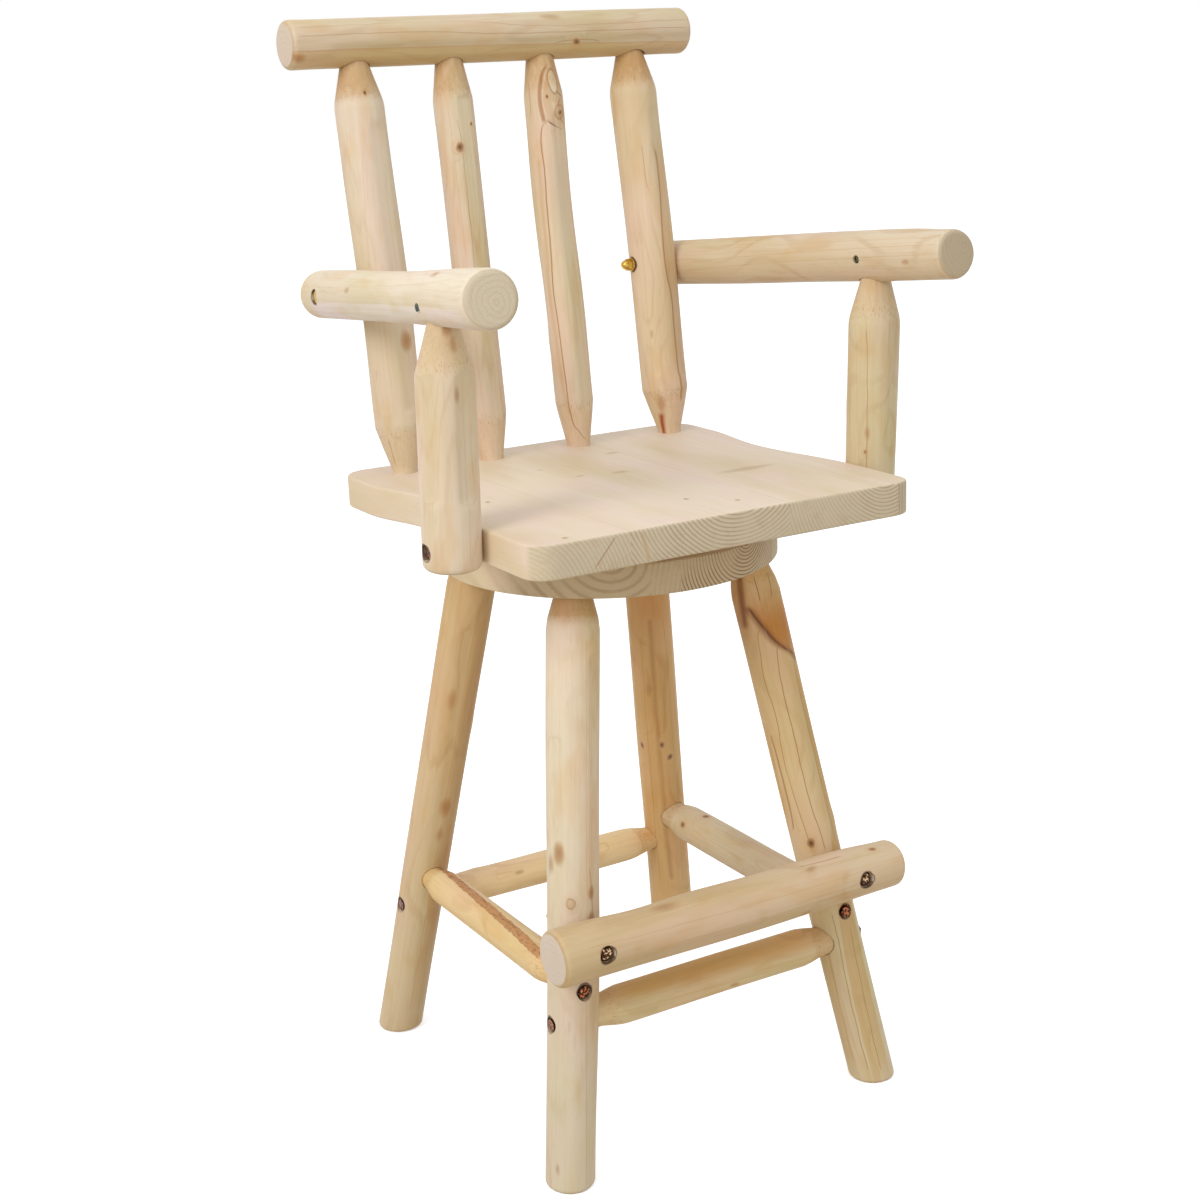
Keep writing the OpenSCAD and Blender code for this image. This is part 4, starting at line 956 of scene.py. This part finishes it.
line, bark, strip, shade = map(stroke, ("line", "bark", "strip", "shade"))
FR_EDGE = (0.90, 0.74, 0.52)
POCKET = (794, 653), (778, 643), (760, 623), (748, 608)
RAIL_EDGE = (292, 50), (480, 46), (688, 42)
LEFT_EDGE = (587, 1185), (587, 900), (586, 640)
BACK_EDGE = (410, 1010), (446, 800), (478, 610)
DRAWN = {
    "top_rail": dict(
        # the edge strip paints warm shade on the rail's lower side
        edge=strip(60, (0.95, 0.86, 0.66), 0.85, *RAIL_EDGE),
        edge_line=line(1.6, AMBER, 0.6, *RAIL_EDGE),
        low=line(1.4, STRAW, 0.6, (300, 36), (400, 32), (520, 33), (685, 27)),
        high=line(1.2, STRAW, 0.5, (300, 27), (430, 21), (560, 25), (685, 19)),
        knot=line(1.6, KNOT_RIM, 0.5, (556, 44), (577, 40), (600, 42))),
    "spindle_outer_left": dict(
        foot_check=line(3.0, KNOT_RIM, 0.5, (395, 465), (387, 440)),
        grain=line(1.0, AMBER, 0.3, (372, 330), (362, 150))),
    "spindle_inner_left": dict(
        edge=strip(55, (0.97, 0.99, 0.93), 0.7, (489, 440), (470, 240), (452, 90)),
        check=line(1.2, KNOT_RIM, 0.55, (478, 330), (466, 180), (457, 120)),
        grain=line(0.9, AMBER, 0.35, (482, 400), (462, 220), (448, 110))),
    "spindle_inner_right": dict(
        planed=strip(70, (0.95, 0.99, 0.98), 0.95, (576, 403), (571, 365), (566, 301), (560, 250),
            (556, 240), (552, 190), (550, 150)),
        carved=strip(75, (0.90, 0.76, 0.64), 0.7, (549, 124), (545, 110), (543, 100), (544, 86), (550, 66)),
        pale_wood=line(7, srgb(226, 206, 176), 0.9, (557, 122), (553, 102)),
        carved_edge=line(6.0, srgb(168, 108, 56), 0.75, (544, 122), (540, 100), (540, 86), (546, 66)),
        lens_edge=line(2.4, UMBER, 0.85, (564, 98), (560, 95), (553, 85), (551, 76)),
        whorl_side=line(2.4, srgb(150, 92, 54), 0.8, (565, 123), (561, 118), (558, 106), (560, 99)),
        whorl_foot=line(4.5, srgb(140, 104, 88), 0.9, (562, 128), (556, 126), (548, 121)),
        left_check=line(1.3, KNOT_RIM, 0.6, (531, 115), (530, 100), (528, 82)),
        brown_edge=line(2.0, srgb(166, 112, 60), 0.8, (589, 440), (579, 431), (571, 416), (566, 384),
            (561, 346), (554, 295), (551, 250), (547, 203), (544.6, 171), (541, 142), (546, 123)),
        edge_glow=line(9, AMBER, 0.38, (571, 416), (563, 384), (557, 346), (550, 295), (547, 250),
            (543, 203), (539, 160)),
        foot_check=line(1.2, KNOT_RIM, 0.6, (566, 443), (557, 422), (555, 403))),
    "spindle_outer_right": dict(
        dark_side=shade(95, (0.97, 0.94, 0.88), 0.8, (665, 400), (655, 320), (640, 150)),
        planed=strip(50, (0.95, 0.88, 0.80), 0.7, (679, 400), (677, 370), (672, 307), (664, 249),
            (659, 178), (655, 150)),
        brown_edge=line(3.6, srgb(176, 120, 66), 0.75, (679, 400), (675, 346), (672, 307), (666, 275),
            (663, 249), (661, 216), (659, 178), (655, 150)),
        check=line(1.2, KNOT_RIM, 0.5, (649, 190), (645, 175), (642, 146)),
        foot_resin=line(17.0, srgb(164, 74, 28), 1.0, (664.5, 437), (662.5, 426), (661, 414))),
    "arm_left": dict(
        # the under strip paints pale, cool light on the arm's lower side
        under=strip(-90, (1.09, 1.14, 1.42), 0.9, (310, 303), (380, 305), (450, 310)),
        grain=line(1.0, AMBER, 0.2, (300, 289), (420, 283), (520, 280))),
    "arm_right": dict(
        middle=line(1.0, AMBER, 0.4, (935, 244), (800, 252), (690, 262)),
        low=line(1.0, AMBER, 0.35, (935, 254), (800, 261), (690, 269)),
        high=line(0.9, AMBER, 0.3, (935, 236), (800, 243), (690, 252))),
    "arm_post_left": dict(
        grain=line(1.0, AMBER, 0.3, (470, 560), (466, 450), (462, 380))),
    "arm_post_right": dict(
        check=line(1.4, KNOT_RIM, 0.6, (866, 470), (867, 420), (866, 330)),
        grain=line(1.0, AMBER, 0.4, (858, 465), (857, 400), (855, 330)),
        planed=strip(70, (0.98, 1.0, 0.95), 0.8, (868, 470), (868, 330))),
    "leg_front_left": dict(
        # the edge strip paints light on the leg's right side, lifting its shade
        edge=strip(50, (1.05, 1.03, 0.98), 0.75, *LEFT_EDGE),
        edge_line=line(0.9, AMBER, 0.4, *LEFT_EDGE),
        knot=line(3, RUST, 0.35, (595, 935), (592, 893), (590, 870))),
    "leg_front_right": dict(
        planed=strip(60, FR_EDGE, 0.75, (872, 1075), (850, 985), (834, 850), (828, 802), (820, 769),
            (810, 728), (803, 699), (796, 660)),
        left_planed=strip(-60, FR_EDGE, 0.7, (790, 829), (770, 736)),
        left_check=line(3.0, RUST, 0.6, (793, 829), (788, 800), (771, 736)),
        pocket=strip(110, (0.78, 0.48, 0.20), 1.0, *POCKET),
        pocket_glow=line(15.0, srgb(140, 82, 40), 0.75, (797, 659), (794, 654), (778, 644), (760, 624),
            (747, 608)),
        pocket_edge=line(4.0, srgb(100, 54, 26), 0.7, *POCKET),
        top_shade=shade(-100, (0.72, 0.54, 0.34), 0.9, (757, 640), (752, 600), (748, 570)),
        # painted shade with some stain: a dark band down the top of the leg's left side, under the disc
        top_shade_and_stain=line(14, srgb(120, 62, 28), 0.75, (745, 628), (741, 600), (739, 576)),
        low_planed=strip(-60, (0.93, 0.82, 0.62), 0.7, (858, 1070), (840, 1000), (829, 945)),
        cone_check=line(1.3, UMBER, 0.7, (760, 601), (754, 577)),
        cone_check_right=line(1.3, UMBER, 0.7, (772, 595), (768, 573)),
        left=line(1.2, srgb(170, 118, 60), 0.75, (812, 850), (803, 824), (793, 794), (783, 757), (775, 714),
            (765, 683), (760, 656), (760, 630)),
        middle=line(1.3, srgb(166, 112, 56), 0.8, (826, 850), (819, 827), (810, 802), (803, 774),
            (795, 739), (786, 703), (779, 669), (779, 646)),
        right=line(1.8, GREY_BROWN, 0.55, (838, 840), (834, 824), (828, 802), (820, 769), (810, 728),
            (803, 699), (796, 660)),
        low=line(1.3, HONEY, 0.65, (868, 1070), (850, 1000), (838, 940), (832, 915)),
        low_right=line(1.3, HONEY, 0.65, (882, 1070), (868, 1010), (852, 930)),
        low_left=line(1.2, HONEY, 0.5, (853, 1060), (836, 990), (828, 940))),
    "leg_back_left": dict(
        # painted light and shade: left_side lightens the lit left side, edge darkens the right side
        left_side=strip(-60, (1.04, 1.02, 1.04), 0.8, (392, 1000), (425, 800), (456, 610)),
        edge=strip(50, (0.93, 0.84, 0.72), 0.7, *BACK_EDGE),
        edge_line=line(1.0, KNOT_RIM, 0.4, *BACK_EDGE)),
    "leg_back_right": dict(
        stain=line(9, srgb(170, 118, 66), 0.5, (672, 880), (660, 760), (650, 620)),
        left=line(1.2, RUST, 0.4, (660, 880), (650, 770), (640, 640)),
        right=line(1.2, RUST, 0.35, (684, 880), (676, 770), (664, 620))),
    "stretcher_left": dict(
        bark_left=bark(12, srgb(196, 138, 84), 0.9, (541, 955), (500, 917), (462, 884), (440, 868))),
    "stretcher_right": dict(
        grain=line(1.0, AMBER, 0.3, (770, 868), (700, 832))),
    "footrest_rail": dict(
        middle=line(1.0, AMBER, 0.35, (590, 948), (680, 925), (780, 897), (880, 866)),
        high=line(1.0, AMBER, 0.3, (600, 930), (700, 900), (800, 872), (890, 850)),
        knot=line(2.2, RUST, 0.5, (800, 866), (818, 862), (840, 856)),
        # the under strip paints shade on the rail's lower side
        under=strip(60, (0.91, 0.88, 0.80), 0.7, (600, 964), (700, 935), (800, 905), (890, 880))),
    "stretcher_front": dict(
        under=shade(-100, (0.97, 0.78, 0.54), 0.9, (617, 1006), (720, 980), (818, 950)),
        grain=line(1.2, AMBER, 0.35, (620, 1012), (720, 986), (820, 956))),
}
SPECS = {name: {**PLAIN, **spec} for name, spec in SPECS.items()}
BODY = {node: body for body, nodes in frame["record"]["behaviour"]["bodies"].items() for node in nodes}


def strokes_of(log):
    """What is drawn on a log, with each path as sorted (place on the axis, angle) points."""
    for kind, path, *look in DRAWN.get(log.name, {}).values():
        spots = [log.spot(*pixel) for pixel in path]
        yield kind, sorted((q.z, atan2(q.y, q.x)) for q in spots), *look


def measured_log(name, spec, seed):
    """A log with its marks: the photograph's, four on its far side and the painted shade and stain on the
    recesses' walls.
    """
    log = Log(name, spec, seed)
    rnd = random.Random(log.seed * 13)
    log.marks = [(log.spot(px, py), r * MM, kind) for px, py, r, kind in spec["spots"].values()]
    lo, hi = log.full
    for _ in range(4):
        t = rnd.uniform(lo + 0.03, hi - 0.03)
        a = rnd.uniform(1.9, 4.4)
        kind = rnd.choice(("dark", "pale", "dark", "stain"))
        q = Vector((log.radius * cos(a), log.radius * sin(a), t))
        log.marks.append((q, rnd.uniform(4, 8) * MM, kind))
    log.recesses, walls = fastener_cuts(log)
    if name == "footrest_rail":
        bolts, walls = bolt_cuts(log)
        log.recesses += bolts
    log.marks += walls
    log.strokes = list(strokes_of(log))
    return log


logs = {name: measured_log(name, spec, i) for i, (name, spec) in enumerate(SPECS.items(), 1)}
SPINDLES = [logs[n] for n in logs if n.startswith("spindle_")]
STRETCHERS = [logs[n] for n in logs if n.startswith("stretcher_")]
LEGS = [logs[n] for n in logs if n.startswith("leg_")]


def cuts_for(log):
    """All that is cut out of a log, and off a leg what is below the floor."""
    parts = list(log.recesses)
    if log.name == "top_rail":
        parts += [grown_top(s, TENON_CLEAR) for s in SPINDLES]
        parts += head_holes("rail_screws", log=log)
    if log.name in ("arm_left", "arm_right"):
        post = logs[log.name.replace("arm_", "arm_post_")]
        parts.append(grown_top(post, SOCKET_CLEAR))
        parts += head_holes("arm_screws", log=log)
    if log.level_foot:
        for n in STRETCHERS:
            for t0, t1 in ((0.0, NOSE_L), (n.length - NOSE_L, n.length)):
                m = n.a + n.d * (t0 + t1) / 2
                t = np.dot(m - log.a, log.d)
                if norm(m - log.a - log.d * t) < NOSE_REACH:
                    parts.append(grown(n, t0, t1, SOCKET_CLEAR))
        low = np.array([log.a[0], log.a[1], -UNDER_FLOOR])
        parts.append(cylinder(low, UP, UNDER_FLOOR, UNDER_FLOOR, 24))
    return parts


for name, log in logs.items():
    o = loft(log, SPECS[name])
    carve(o, cuts_for(log))
    smooth(o, 38)
    o.data.materials.clear()
    o.data.materials.append(log_wood(log, SPECS[name]))
    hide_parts(name)
    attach(o, BODY[name])


# The seat board and the base disc
BOARD_STEP = 0.006
SEAT_EASE = 2.6
DISC_EASE = 2.2


def outline_of(name):
    """Outer loop of a board's top face, counter-clockwise."""
    v = world_verts(name)
    top = v[:, 2].max()
    last = dict(zip(place_keys(v), range(len(v))))
    ids = [last[k] for k in place_keys(v)]
    count = Counter()
    for poly in NODES[name].data.polygons:
        vs = [ids[i] for i in poly.vertices]
        if all(v[i][2] > top - 1e-5 for i in vs):
            count.update((min(e), max(e)) for e in zip(vs, vs[1:] + vs[:1]))
    link = {}
    for (a, b), n in count.items():
        if n == 1:
            link.setdefault(a, []).append(b)
            link.setdefault(b, []).append(a)
    loops, seen = [], set()
    for here in link:
        loop = []
        while here not in seen:
            seen.add(here)
            loop.append(here)
            here = next((q for q in link[here] if q not in seen), here)
        if loop:
            loops.append(v[loop][:, :2])
    best = max(loops, key=lambda p: np.ptp(p[:, 0]))
    area = np.sum(best[:, 0] * np.roll(best[:, 1], -1) - best[:, 1] * np.roll(best[:, 0], -1))
    return best if area > 0 else best[::-1]


def resample(p, spacing):
    """The closed outline with points at even steps."""
    q = np.vstack([p, p[:1]])
    s = np.concatenate([[0], np.cumsum(norm(np.diff(q, axis=0), axis=1))])
    u = np.linspace(0, s[-1], int(s[-1] / spacing), endpoint=False)
    return np.stack([np.interp(u, s, q[:, 0]), np.interp(u, s, q[:, 1])], 1)


def board(name, ease, seed):
    """A board with the CAD solid's outline and sanded edges that are eased a little unevenly."""
    v = world_verts(name)
    z0, z1 = v[:, 2].min(), v[:, 2].max()
    p = resample(outline_of(name), BOARD_STEP)
    tangent = np.roll(p, -1, 0) - np.roll(p, 1, 0)
    tangent /= norm(tangent, axis=1)[:, None]
    inward = np.stack([-tangent[:, 1], tangent[:, 0]], 1)
    rnd = random.Random(seed)
    phase = [rnd.uniform(0, PHASE) for _ in range(3)]
    u = np.linspace(0, TURN, len(p), endpoint=False)
    wave = (np.sin(9 * u + phase[0]) + np.sin(17 * u + phase[1]) + 0.7 * np.sin(31 * u + phase[2])) / 3
    e = (ease + 0.35 * wave) * MM
    quarter = [pi / 2 * i / 5 for i in range(6)]
    rings = []
    for z, way, angles in ((z0, 1, quarter), (z1, -1, quarter[::-1])):
        for s in angles:
            q = p + inward * (e * (1 - sin(s)))[:, None]
            rings.append([(a, b, z + way * c) for (a, b), c in zip(q, e * (1 - cos(s)))])
    verts, faces = stacked(rings)
    return new_object("board_" + name, verts, faces)


def on_seat(px, py):
    """Point of the seat's top that the photograph shows at a pixel."""
    ray, eye = pixel_ray(px, py), CAMERA.translation
    return eye + ray * ((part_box("seat_board")[1][2] - eye.z) / ray.z)


SEAT_SPOTS = dict(
    left_knot=(488, 502, 4, "dark"), right_knot=(686, 499, 4, "dark"), far_right_knot=(737, 500, 4, "dark"),
    front_knot=(565, 538, 4, "dark"), long_patch=(747, 468.5, 11, "patch"), middle_spot=(620, 472, 8, "spot"),
    back_spot=(612, 453, 7, "spot"), left_spot=(580, 476, 5, "spot"), far_left_spot=(540, 470, 4, "spot"))
SEAT_PLANKS = [
    (None, -0.27, 0.700, 0.0048, 0.25), (-0.132, 0.005, 0.800, 0.0047, 0.5),
    (0.0716, 0.203, 0.780, 0.0044, 0.45), (0.2005, 0.203, 0.780, 0.0044, 0.5),
    (0.2225, 0.33, 0.74, 0.0030, 0.9)]
SEAT_STROKES = [(-0.151, 0.753, -0.175, 0.726, 0.0016, srgb(166, 116, 74), 0.75),
                (-0.118, 0.752, -0.110, 0.722, 0.0030, srgb(190, 148, 100), 0.5)]
DISC_PLANKS = [(None, -0.102, 0.702, 0.0115, 0.4), (-0.060, 0.20, 0.640, 0.0060, 0.25),
               (-0.026, 0.071, 0.700, 0.0043, 1.0), (0.128, 0.30, 0.66, 0.0050, 0.2)]
SPINDLE_HEAD_R = 4.9 * MM
LEG_HEAD_DEPTH = 5.4 * MM
LEG_HEAD_R = 9.5 * MM
LEG_HEAD_L = 0.04
LEG_TENON_L = 0.08
LEG_TENON_SHORT = 0.0005
ACCESS_Y = 0.14 / sqrt(2)
ACCESS_Z = 0.6
ACCESS_R = 9 * MM
ACCESS_L = 0.2

seat = board("seat_board", SEAT_EASE, 5)
carve(seat, head_holes("spindle_screws", r=SPINDLE_HEAD_R))
seat_marks = [(on_seat(px, py), r * MM, kind) for px, py, r, kind in SEAT_SPOTS.values()]
seat.data.materials.append(board_wood("seat", SEAT_PLANKS, 2.3, (0.98, 0.99, 1.04), 0.03,
                                      srgb(212, 194, 164), seat_marks, SEAT_STROKES))
disc = board("base_disc", DISC_EASE, 6)
carve(disc, [grown_top(leg, TENON_CLEAR, LEG_TENON_L, LEG_TENON_SHORT) for leg in LEGS])
carve(disc, head_holes("leg_screws", LEG_HEAD_DEPTH, LEG_HEAD_L, LEG_HEAD_R, 40))
carve(disc, [cylinder(np.array([0, ACCESS_Y, ACCESS_Z]), UP, ACCESS_R, ACCESS_L)])
disc.data.materials.append(board_wood("disc", DISC_PLANKS, 7.1, (0.86, 0.84, 0.77), 0.2, srgb(202, 180, 144)))
for o, name in ((seat, "seat_board"), (disc, "base_disc")):
    smooth(o, 40)
    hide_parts(name)
    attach(o, BODY[name])

# Metals of the fasteners and the swivel, which keep their CAD meshes. The brown and coppery colours of the
# footrest, stretcher and post bolts and washers are painted reflections of the wood round them.
steel = metal("zinc_steel", srgb(176, 170, 160), 0.34, 0.5, srgb(120, 108, 92))
painted_reflection_zinc = metal("aged_zinc", srgb(204, 170, 132), 0.16, 1.0, srgb(58, 34, 20), (0.38, 0.50), 280)
painted_coppery_reflection = metal("coppery_zinc", srgb(176, 104, 66), 0.3, 1.0, srgb(52, 32, 24), (0.42, 0.52), 300)
green = metal("green_black_zinc", srgb(120, 124, 92), 0.3, 1.0, srgb(40, 44, 30), (0.38, 0.50))
yellow = metal("yellow_zinc", srgb(206, 170, 82), 0.26, 0.5, srgb(176, 120, 66))
bright = metal("ball_steel", srgb(214, 216, 220), 0.12, 0.2, srgb(170, 170, 172))
BY_SLOT = {"zinc_steel": steel, "yellow_zinc": yellow, "ball_steel": bright}
TINT_AND_PAINTED_REFLECTION = {"stretcher_bolts": painted_coppery_reflection, "stretcher_washers": painted_coppery_reflection, "footrest_bolts": painted_reflection_zinc, "arm_screws": green,
        "post_bolts": painted_coppery_reflection}
for entry in frame["record"]["subparts"]:
    n, s = entry["node"], entry["material_slot"]
    if s in BY_SLOT:
        o = NODES[n]
        o.data.materials.clear()
        o.data.materials.append(TINT_AND_PAINTED_REFLECTION.get(n, BY_SLOT[s]))


# Floor, world and lamps
FLOOR_HALF = 30
FLOOR_Z = -0.0002
FLOOR_BOUNCE = (0.60, 0.53, 0.42)
FLOOR_SEEN = (0.8, 0.8, 0.8)
FLOOR_GLOW = 0.55
SKY = (0.86, 0.93, 1.0)
SKY_STRENGTH = 0.85


def sees_white():
    """1 for the rays that show the white background: camera, glossy and transmission rays."""
    rays = node("LightPath").outputs
    return most(most(rays["Is Camera Ray"], rays["Is Glossy Ray"]), rays["Is Transmission Ray"])


corners = [(x * FLOOR_HALF, y * FLOOR_HALF, FLOOR_Z) for x, y in ((-1, -1), (1, -1), (1, 1), (-1, 1))]
floor = new_object("floor", corners, [(0, 1, 2, 3)])
open_tree("white_floor")
tree.nodes.remove(tree.nodes["Principled BSDF"])
seen = sees_white()
diffuse = node("BsdfDiffuse", {"Color": mix(seen, FLOOR_BOUNCE, FLOOR_SEEN)})
glow = node("Emission", {"Color": WHITE, "Strength": mul(seen, FLOOR_GLOW)})
both = node("AddShader", {0: diffuse.outputs[0], 1: glow.outputs[0]})
put(tree.nodes["Material Output"].inputs[0], both.outputs[0])
floor.data.materials.append(block)

open_tree("studio", bpy.data.worlds)
scene.world = block
sky = tree.nodes["Background"]
put(sky.inputs[0], SKY)
put(sky.inputs[1], SKY_STRENGTH)
white = node("Background", {0: WHITE, 1: 1.0})
view = node("MixShader", {0: sees_white(), 1: sky.outputs[0], 2: white.outputs[0]})
put(tree.nodes["World Output"].inputs[0], view.outputs[0])


def area_light(name, place, target_h, size, power, colour):
    lamp = bpy.data.lights.new(name, "AREA")
    lamp.shape = "DISK"
    lamp.size = size
    lamp.energy = power
    lamp.color = colour
    o = bpy.data.objects.new(name, lamp)
    o.location = place
    o.rotation_euler = (Vector((0, 0, target_h)) - Vector(place)).to_track_quat("-Z", "Y").to_euler()
    scene.collection.objects.link(o)


area_light("key", (-2.9, -1.0, 2.7), 0.7, 1.5, 49.8, (1.0, 0.985, 0.99))
area_light("above", (-0.3, -0.2, 3.7), 0.7, 2.0, 10.4, (0.94, 0.97, 1.0))
area_light("front", (-0.6, -3.4, 1.8), 0.6, 2.4, 7.6, (1.0, 0.99, 0.98))

scene.view_settings.view_transform = "Standard"
